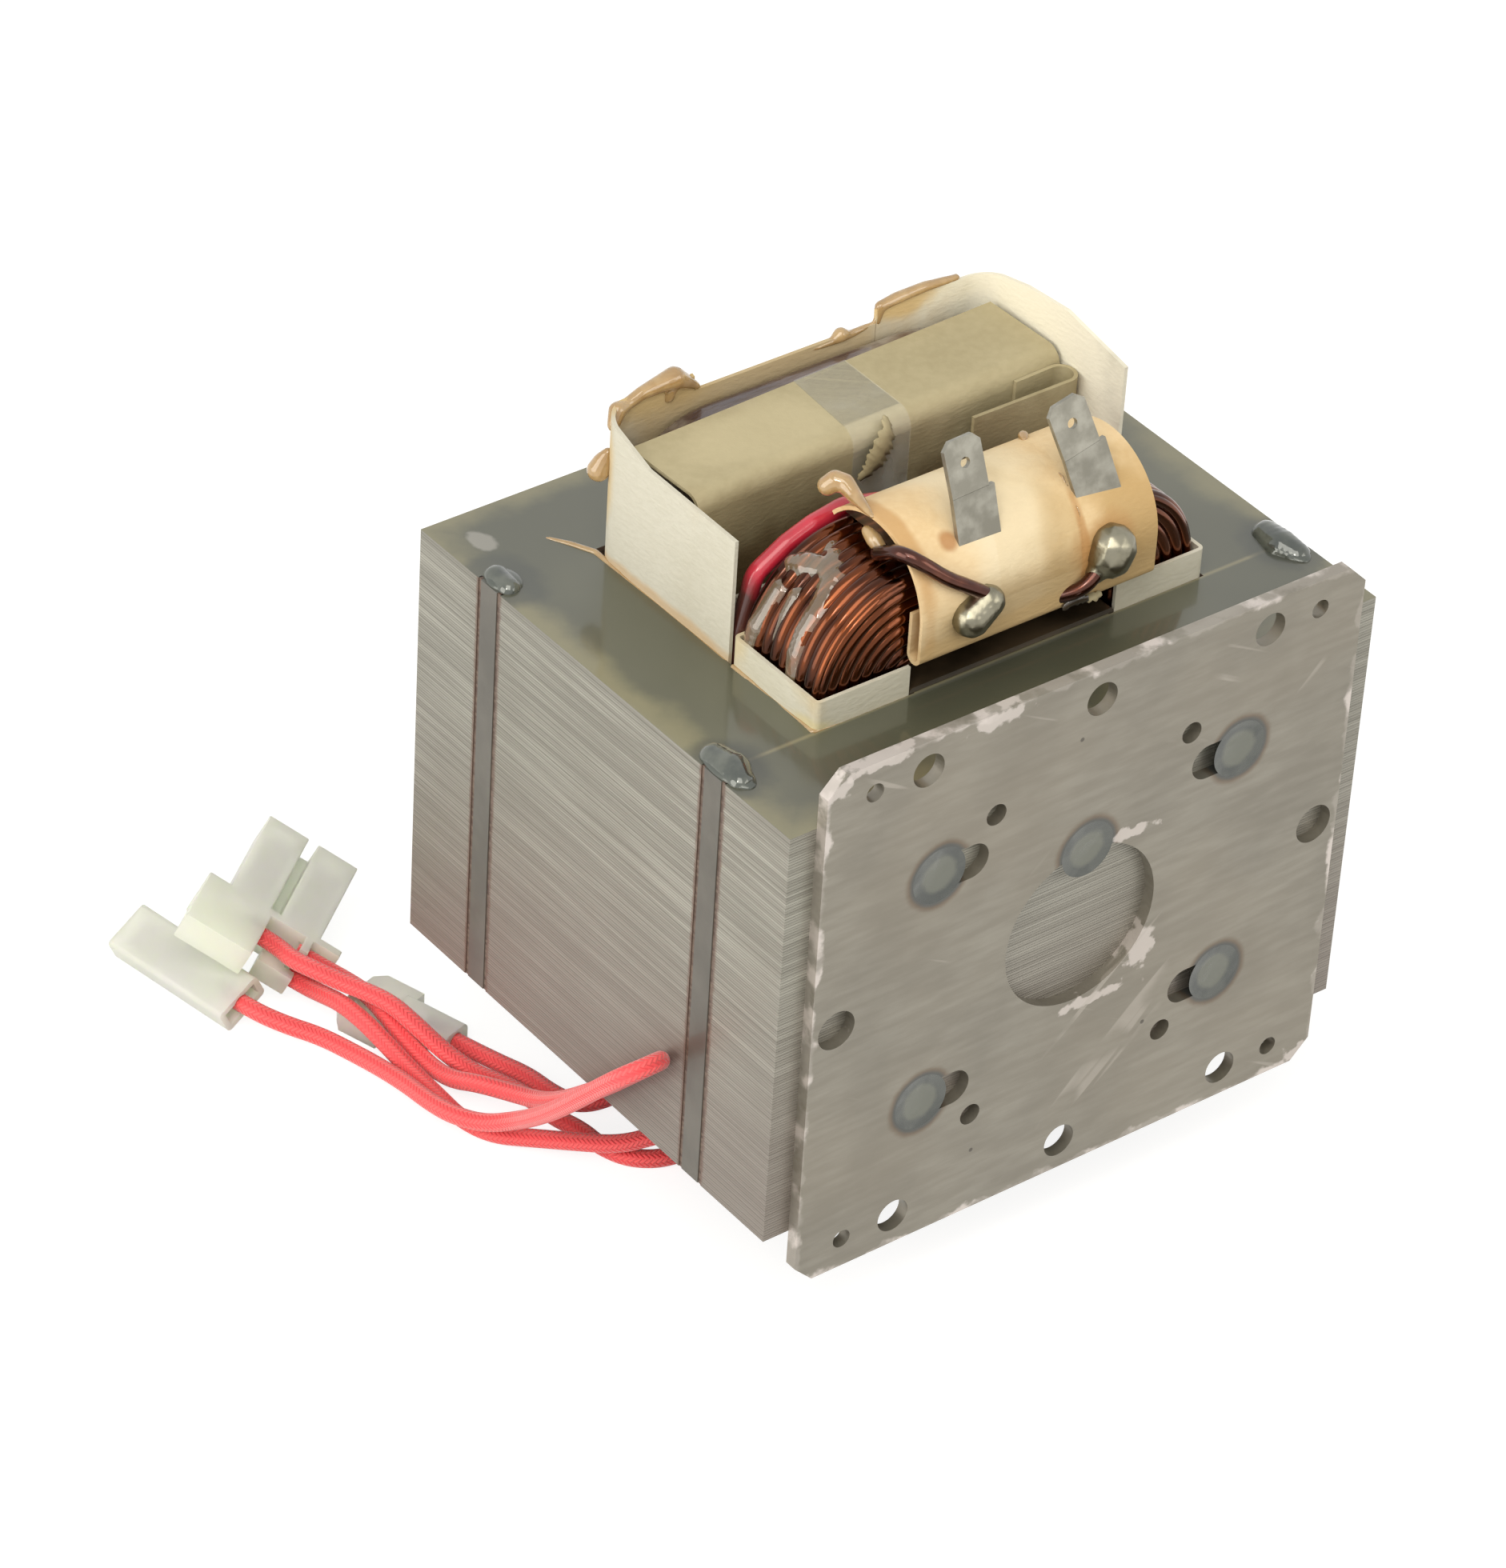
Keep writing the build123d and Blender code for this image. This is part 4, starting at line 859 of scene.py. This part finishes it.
# %% Put an extra piece on the part
def settle(obj, material):
    """Puts a finished extra piece on the part."""
    obj.data.materials.clear()
    obj.data.materials.append(material)
    for face in obj.data.polygons:
        face.use_smooth = True
    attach(obj, "root")


# %% Melt balls into one skin
def lump(name, material, chains, grain=0.3):
    """Chains of (x, y, z, radius) in millimetres become one smooth lump."""
    mesh = bmesh.new()
    for chain in chains:
        steps = []
        for a, b in zip(chain, chain[1:]):
            count = max(2, int((Vector(b[:3]) - Vector(a[:3])).length / (0.4 * min(a[3], b[3]))))
            steps += [[p + (q - p) * i / count for p, q in zip(a, b)] for i in range(count)]
        for x, y, z, radius in steps + [chain[-1]]:
            place = Matrix.Translation(Vector((x, y, z)) * mm)
            bmesh.ops.create_icosphere(mesh, subdivisions=2, radius=radius * mm, matrix=place)
    obj = from_bmesh(name, mesh)
    melt = obj.modifiers.new("melt", "REMESH")
    melt.mode = "VOXEL"
    melt.voxel_size = grain * mm
    soft = obj.modifiers.new("soften", "SMOOTH")
    soft.iterations = 6
    melted = applied(obj)
    obj.modifiers.clear()
    obj.data = melted
    settle(obj, material)
    print(name, len(melted.polygons), "faces")


# %% [markdown]
# ### Drips and lumps on the papers
# Amber varnish beads along the top of the back wall, hangs off its corner, fills the corner at
# the fences' feet and gathers at the pad's left end. Each list below is one such run, with its
# thickness as the last number of every point.

# %% Drips and lumps on the papers
lump("varnish_on_back_wall", syrup, [
    [(-33.2, 25.9, 113.4, 1.0), (-32.0, 26.7, 115.0, 1.4), (-30.2, 27.0, 115.2, 1.0),
     (-27.6, 27.0, 116.2, 1.1), (-24.6, 27.0, 116.6, 1.4), (-22.0, 27.0, 116.8, 1.8),
     (-19.8, 27.0, 115.4, 1.2), (-17.9, 27.0, 114.0, 0.7)],
    [(-23, 26.7, 114.0, 0.9), (-22.5, 26.9, 116.0, 1.3)],
    [(-34.1, 25.7, 109.4, 0.7), (-34.7, 26.1, 107.6, 1.5), (-35.1, 26.4, 106.2, 1.8)],
])
lump("varnish_on_middle_wall", syrup, [
    [(-14, 26.9, 113.2, 0.35), (-6, 26.9, 112.9, 0.4), (2, 26.9, 113.0, 0.45), (6.6, 26.9, 113.1, 0.7),
     (8.0, 27.0, 113.6, 1.2), (9.4, 26.9, 113.1, 0.7), (14, 26.9, 113.6, 0.4)],
    [(14.6, 27.0, 113.4, 0.6), (15.0, 27.0, 116.0, 0.9), (18, 27.0, 116.4, 1.0), (23, 27.0, 116.6, 0.9),
     (29, 27.0, 116.2, 0.6)],
])
lump("varnish_at_fence_foot", syrup, [
    [(-38.6, 33.4, 91.7, 0.4), (-36.6, 30.2, 91.8, 0.55), (-34.8, 26.6, 91.8, 0.6), (-35.0, 18, 91.7, 0.35),
     (-35.0, 8, 91.7, 0.3), (-35.0, -4.6, 91.7, 0.35)],
    [(-35.0, -6.4, 91.8, 0.5), (-35.0, -16, 91.7, 0.3), (-35.0, -24.8, 91.8, 0.45), (-30, -25.3, 91.7, 0.3),
     (-19, -25.3, 91.7, 0.3)],
])
lump("varnish_on_pad_corner", syrup, [
    [(-19.6, -5.6, 116.2, 1.5), (-18.7, -6.2, 117.1, 1.6), (-17.9, -7.4, 117.0, 1.5),
     (-17.9, -9.8, 116.2, 1.2), (-18.5, -12.6, 116.3, 0.8), (-18.9, -15.0, 116.2, 0.4)],
])
lump("varnish_on_pad", syrup, [
    [(-19.0, -14.2, 113.4, 0.9), (-18.9, -15.8, 112.7, 1.25), (-18.7, -17.4, 111.9, 0.9)],
    [(11.8, -10.4, 115.3, 0.5), (12.6, -9.2, 114.9, 0.9), (13.4, -8.0, 114.0, 0.6)],
    [(10.3, -13.0, 116.1, 0.25), (10.4, -20.5, 115.4, 0.3), (10.2, -25.0, 111.9, 0.25),
     (10.3, -27.3, 105.5, 0.3)],
])

# %% [markdown]
# ### Clear runs on the copper
# The varnish ran down over the turns of the primary and set clear. A finer grain keeps the runs
# thin, because they only just stand out of the wires.

# %% Clear runs on the copper
lump("varnish_on_copper", glaze, [
    [(-26.2, -8.2, 106.5, 2.1), (-25.4, -10.0, 106.9, 2.6), (-24.3, -12.4, 107.4, 2.4),
     (-24.5, -15.0, 106.9, 2.7), (-26.5, -16.2, 105.5, 2.7), (-28.5, -16.8, 103.9, 2.5),
     (-30.3, -16.6, 101.8, 2.1), (-31.7, -17.0, 98.9, 2.1), (-32.0, -17.6, 96.2, 2.3)],
    [(-21.6, -10.2, 108.4, 2.0), (-22.8, -12.6, 108.0, 2.3), (-24.5, -15.0, 106.9, 2.4)],
    [(-29.0, -9.0, 103.9, 2.1), (-30.9, -8.8, 101.0, 2.0), (-31.9, -8.4, 98.6, 2.2),
     (-32.3, -8.2, 96.4, 2.2)],
    [(-28.6, -12.2, 104.5, 1.9), (-30.1, -12.4, 102.2, 1.9), (-31.4, -12.4, 99.2, 1.7)],
], grain=0.22)

# %% [markdown]
# ## Solder and the copper leads
# Each end of the copper wire swings over the pad in a smooth bend and drowns in a bead of solder.
# The CAD model has the wire as a bent line and the bead as a ball. Here the same two pieces get
# their set-from-liquid shape: a tube along a smooth curve, and a melted chain of balls.

# %% Solder and the copper leads
copper_end_diameter = 0.0022
lump("solder_bead_left", solder, [[(-11.0, -28.3, 103.9, 2.9), (-8.2, -28.5, 105.9, 2.5)]])
lump("solder_bead_right", solder, [
    [(13.8, -28.2, 105.2, 3.5), (14.3, -28.1, 106.3, 3.6)],
    [(13.8, -28.2, 105.2, 2.6), (11.2, -28.4, 103.0, 1.5)],
])
ends = {
    "left": [
        (-19.9, -17.8, 112.0), (-19.9, -20.6, 114.0), (-19.7, -23.2, 115.0), (-18.0, -25.4, 114.0),
        (-14.8, -26.9, 111.2), (-11.2, -27.9, 109.0), (-8.6, -28.4, 107.2),
    ],
    "right": [
        (5.6, -25.6, 99.4), (7.2, -27.4, 100.4), (9.0, -28.7, 101.6), (11.0, -28.8, 103.2),
        (13.2, -28.4, 105.0),
    ],
}
for side, points in ends.items():
    line = smooth_line("copper_line_" + side, [Vector(point) * mm for point in points])
    wire_end, reach = braided_tube("copper_end_" + side, line, copper_end_diameter)
    settle(wire_end, bared)
    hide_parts("primary_lead_" + side)
    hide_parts("solder_" + side)
    print("Copper end", side, round(reach * 1000, 1), "mm")

# %% [markdown]
# ### Weld pools
# Varnish gathered as dark glassy pools over the upper ends of the four seams. They are the same
# kind of lump as the drips, only flatter, with most of each ball sunk in the core.

# %% Weld pools
for side, name in ((-1, "left"), (1, "right")):
    lump("weld_pool_front_" + name, pool, [
        [(side * 50.1, -28.2, 91.3, 2.2), (side * 49.4, -25.4, 91.2, 3.0), (side * 49.7, -22.0, 91.3, 2.5)],
    ])
    lump("weld_pool_back_" + name, pool, [[(side * 50.3, 26.2, 91.4, 2.0), (side * 50.1, 29.4, 91.4, 2.1)]])

# %% [markdown]
# ### Seam borders
# On both sides of each seam the varnish burnt to a brown ridge, too thin to see but for its
# colour. A thin bar beside the bead, almost sunk in the core, gives that line a real edge.

# %% Seam borders
from_seam = 0.00235
bar_depth = 0.0006
bar_width = 0.0008
bar_sink = 0.00045
side_face = 0.0525
middle_height = (core_low.z + core_high.z) / 2
borders = bmesh.new()
for name in seams:
    low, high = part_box(name)
    row = (low.y + high.y) / 2
    inward = -math.copysign(bar_sink, low.x)
    for edge in (-1, 1):
        near = row + edge * from_seam
        size = Matrix.Diagonal((bar_depth, bar_width, core_high.z - core_low.z, 1))
        place = Matrix.Translation((math.copysign(side_face, low.x) + inward, near, middle_height))
        bmesh.ops.create_cube(borders, size=1, matrix=place @ size)
border = from_bmesh("seam_borders", borders)
burnt, tree, shader, place = finish("burnt_varnish", 0.4, 0.2)
serrated = use(tree, "sheet lines", Vector=place, Start=core_low.z)
wire(tree, mixed(tree, serrated["Tone"], (0.075, 0.045, 0.032), (0.17, 0.12, 0.092)), shader["Base Color"])
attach(border, "root")
border.data.materials.append(burnt)

# %% [markdown]
# ### Torn flap and scraps
# A torn flap of kraft paper hangs from the crown's fold, and two scraps stick out below the pad.
# Torn paper has no straight side, so each strip follows a line of points with a width at every
# point, and a seeded random number frays both sides the same way on every run.

# %% Tear a strip
def torn_strip(name, material, line, widths, across, seed):
    """A thin strip along a line of points, in millimetres, with ragged sides."""
    chance = random.Random(seed)
    mesh = bmesh.new()
    rows = []
    for i in range(len(line) - 1):
        for step in range(6):
            t = step / 6
            place = Vector(line[i]).lerp(Vector(line[i + 1]), t)
            wide = widths[i] + (widths[i + 1] - widths[i]) * t
            left = -wide / 2 * chance.uniform(0.6, 1.3)
            right = wide / 2 * chance.uniform(0.6, 1.3)
            bulge = Vector((0, -0.08 * wide, 0))
            profile = ((left, Vector()), (0, bulge), (right, Vector()))
            rows.append([mesh.verts.new((place + Vector(across) * s + lift) * mm) for s, lift in profile])
    for a, b in zip(rows, rows[1:]):
        for k in range(2):
            mesh.faces.new((a[k], a[k + 1], b[k + 1], b[k]))
    strip = from_bmesh(name, mesh)
    thick = strip.modifiers.new("thickness", "SOLIDIFY")
    thick.thickness = 0.25 * mm
    strip.data = applied(strip)
    strip.modifiers.clear()
    settle(strip, material)
    print(name, len(strip.data.polygons), "faces")


# %% Torn flap and scraps
flap_line = [
    (1.2, 7.8, 112.7), (0.6, 6.3, 111.6), (-0.7, 5.5, 109.6), (-2.0, 5.3, 108.0), (-3.6, 5.2, 106.6),
    (-5.2, 5.3, 105.4),
]
left_line = [(6.4, -27.5, 98.6), (8.4, -28.2, 99.6), (10.6, -28.4, 99.4)]
right_line = [(9.4, -27.8, 98.8), (11.4, -28.3, 99.0), (13.4, -27.8, 98.6)]
torn_strip("crown_flap", kraft, flap_line, [1.4, 2.8, 4.0, 3.6, 2.6, 0.4], (0.74, 0.0, -0.66), 4)
torn_strip("scrap_left", brown, left_line, [1.0, 1.8, 0.6], (0, 0.3, 0.9), 7)
torn_strip("scrap_right", kraft, right_line, [0.8, 1.5, 0.5], (0, 0.6, 0.7), 9)

# %% [markdown]
# ### Clear tape round the pad
# One band of clear tape holds the rolled pad between its two blades. It is a strip bent to the
# pad's own radius, a little proud of the paper, and it leans sideways as tape put on by hand does.

# %% Clear tape round the pad
pad_low, pad_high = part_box("terminal_pad")
pad_radius = 0.012
tape_radius = pad_radius + 0.00008
tape_sides = (-0.0045, 0.0103)
tape_steps = 40
pad_centre = Vector((0, pad_low.y + pad_radius, pad_high.z - pad_radius))
band = bmesh.new()
rows = []
for step in range(tape_steps + 1):
    angle = math.radians(38 + step * 142 / tape_steps)
    y = pad_centre.y + tape_radius * math.cos(angle)
    z = pad_centre.z + tape_radius * math.sin(angle)
    lean = 0.001 * math.sin(angle * 1.3)
    rows.append([band.verts.new((x + lean, y, z)) for x in tape_sides])
for a, b in zip(rows, rows[1:]):
    band.faces.new((a[0], a[1], b[1], b[0]))
pad_tape = from_bmesh("pad_tape", band)
settle(pad_tape, clear)
print("Pad tape:", len(pad_tape.data.polygons), "faces")

# %% [markdown]
# ## Floor and light
# The photograph is a product shot on white. The floor and the world show white to the camera
# and to reflections, and a lower, warmer level lights the object, so its colours stay as written.
# A white room at full strength would be simpler, but it would wash out every face.

# %% Floor
def seen_rays(tree):
    """1 for what the camera sees directly, in a reflection or through clear pieces."""
    rays = tree.nodes.new("ShaderNodeLightPath").outputs
    through = sums(tree, "MAXIMUM", rays["Is Glossy Ray"], rays["Is Transmission Ray"])
    return sums(tree, "MAXIMUM", rays["Is Camera Ray"], through)


floor_mesh = bpy.data.meshes.new("floor")
span = 4.0
corners = [(-span, -span, 0), (span, -span, 0), (span, span, 0), (-span, span, 0)]
floor_mesh.from_pydata(corners, [], [(0, 1, 2, 3)])
floor = linked("floor", floor_mesh)
pale = bpy.data.materials.new("pale_floor")
pale.use_nodes = True
tree = pale.node_tree
tree.nodes.clear()
seen = seen_rays(tree)
matt = add(tree, "ShaderNodeBsdfDiffuse", Color=mixed(tree, seen, (0.82, 0.82, 0.82), (0.3, 0.3, 0.3)))
glow = add(tree, "ShaderNodeEmission", Strength=sums(tree, "MULTIPLY", seen, 0.84))
both = add(tree, "ShaderNodeAddShader")
tree.links.new(matt.outputs[0], both.inputs[0])
tree.links.new(glow.outputs[0], both.inputs[1])
output = add(tree, "ShaderNodeOutputMaterial")
tree.links.new(both.outputs[0], output.inputs[0])
floor_mesh.materials.append(pale)
print("Floor:", 2 * span, "m square")

# %% [markdown]
# ### World and lamps
# Three large soft lamps, on the left, high up and in front, give the faces their own levels, and
# a small one puts sharp lights on varnish and solder. All of them are slightly warm.

# %% World and lamps
lamp_colour = (1, 0.965, 0.89)
lamp_target = Vector((0, 0, 0.06))
world = bpy.data.worlds.new("white_room")
bpy.context.scene.world = world
world.use_nodes = True
tree = world.node_tree
seen = seen_rays(tree)
wire(tree, mixed(tree, seen, (1, 0.965, 0.885), (1, 1, 1)), tree.nodes["Background"].inputs["Color"])
wire(tree, ramp(tree, seen, 0.0, 1.0, 0.55, 1.0), tree.nodes["Background"].inputs["Strength"])

lamps = {
    "high_lamp": ((-0.5, -0.5, 1.1), 0.8, 6.5),
    "left_lamp": ((-1.15, 0.05, 0.45), 0.9, 7.6),
    "front_lamp": ((0.5, -1.1, 0.7), 0.7, 3.2),
    "sparkle_lamp": ((-0.75, -0.45, 0.95), 0.16, 1.3),
}
for name, (place, size, power) in lamps.items():
    lamp_data = bpy.data.lights.new(name, "AREA")
    lamp_data.shape = "SQUARE"
    lamp_data.size = size
    lamp_data.energy = power
    lamp_data.color = lamp_colour
    lamp = linked(name, lamp_data)
    lamp.location = place
    lamp.rotation_euler = (lamp_target - Vector(place)).to_track_quat("-Z", "Y").to_euler()
bpy.context.scene.view_settings.view_transform = "Standard"
print("Lamps:", len(lamps))
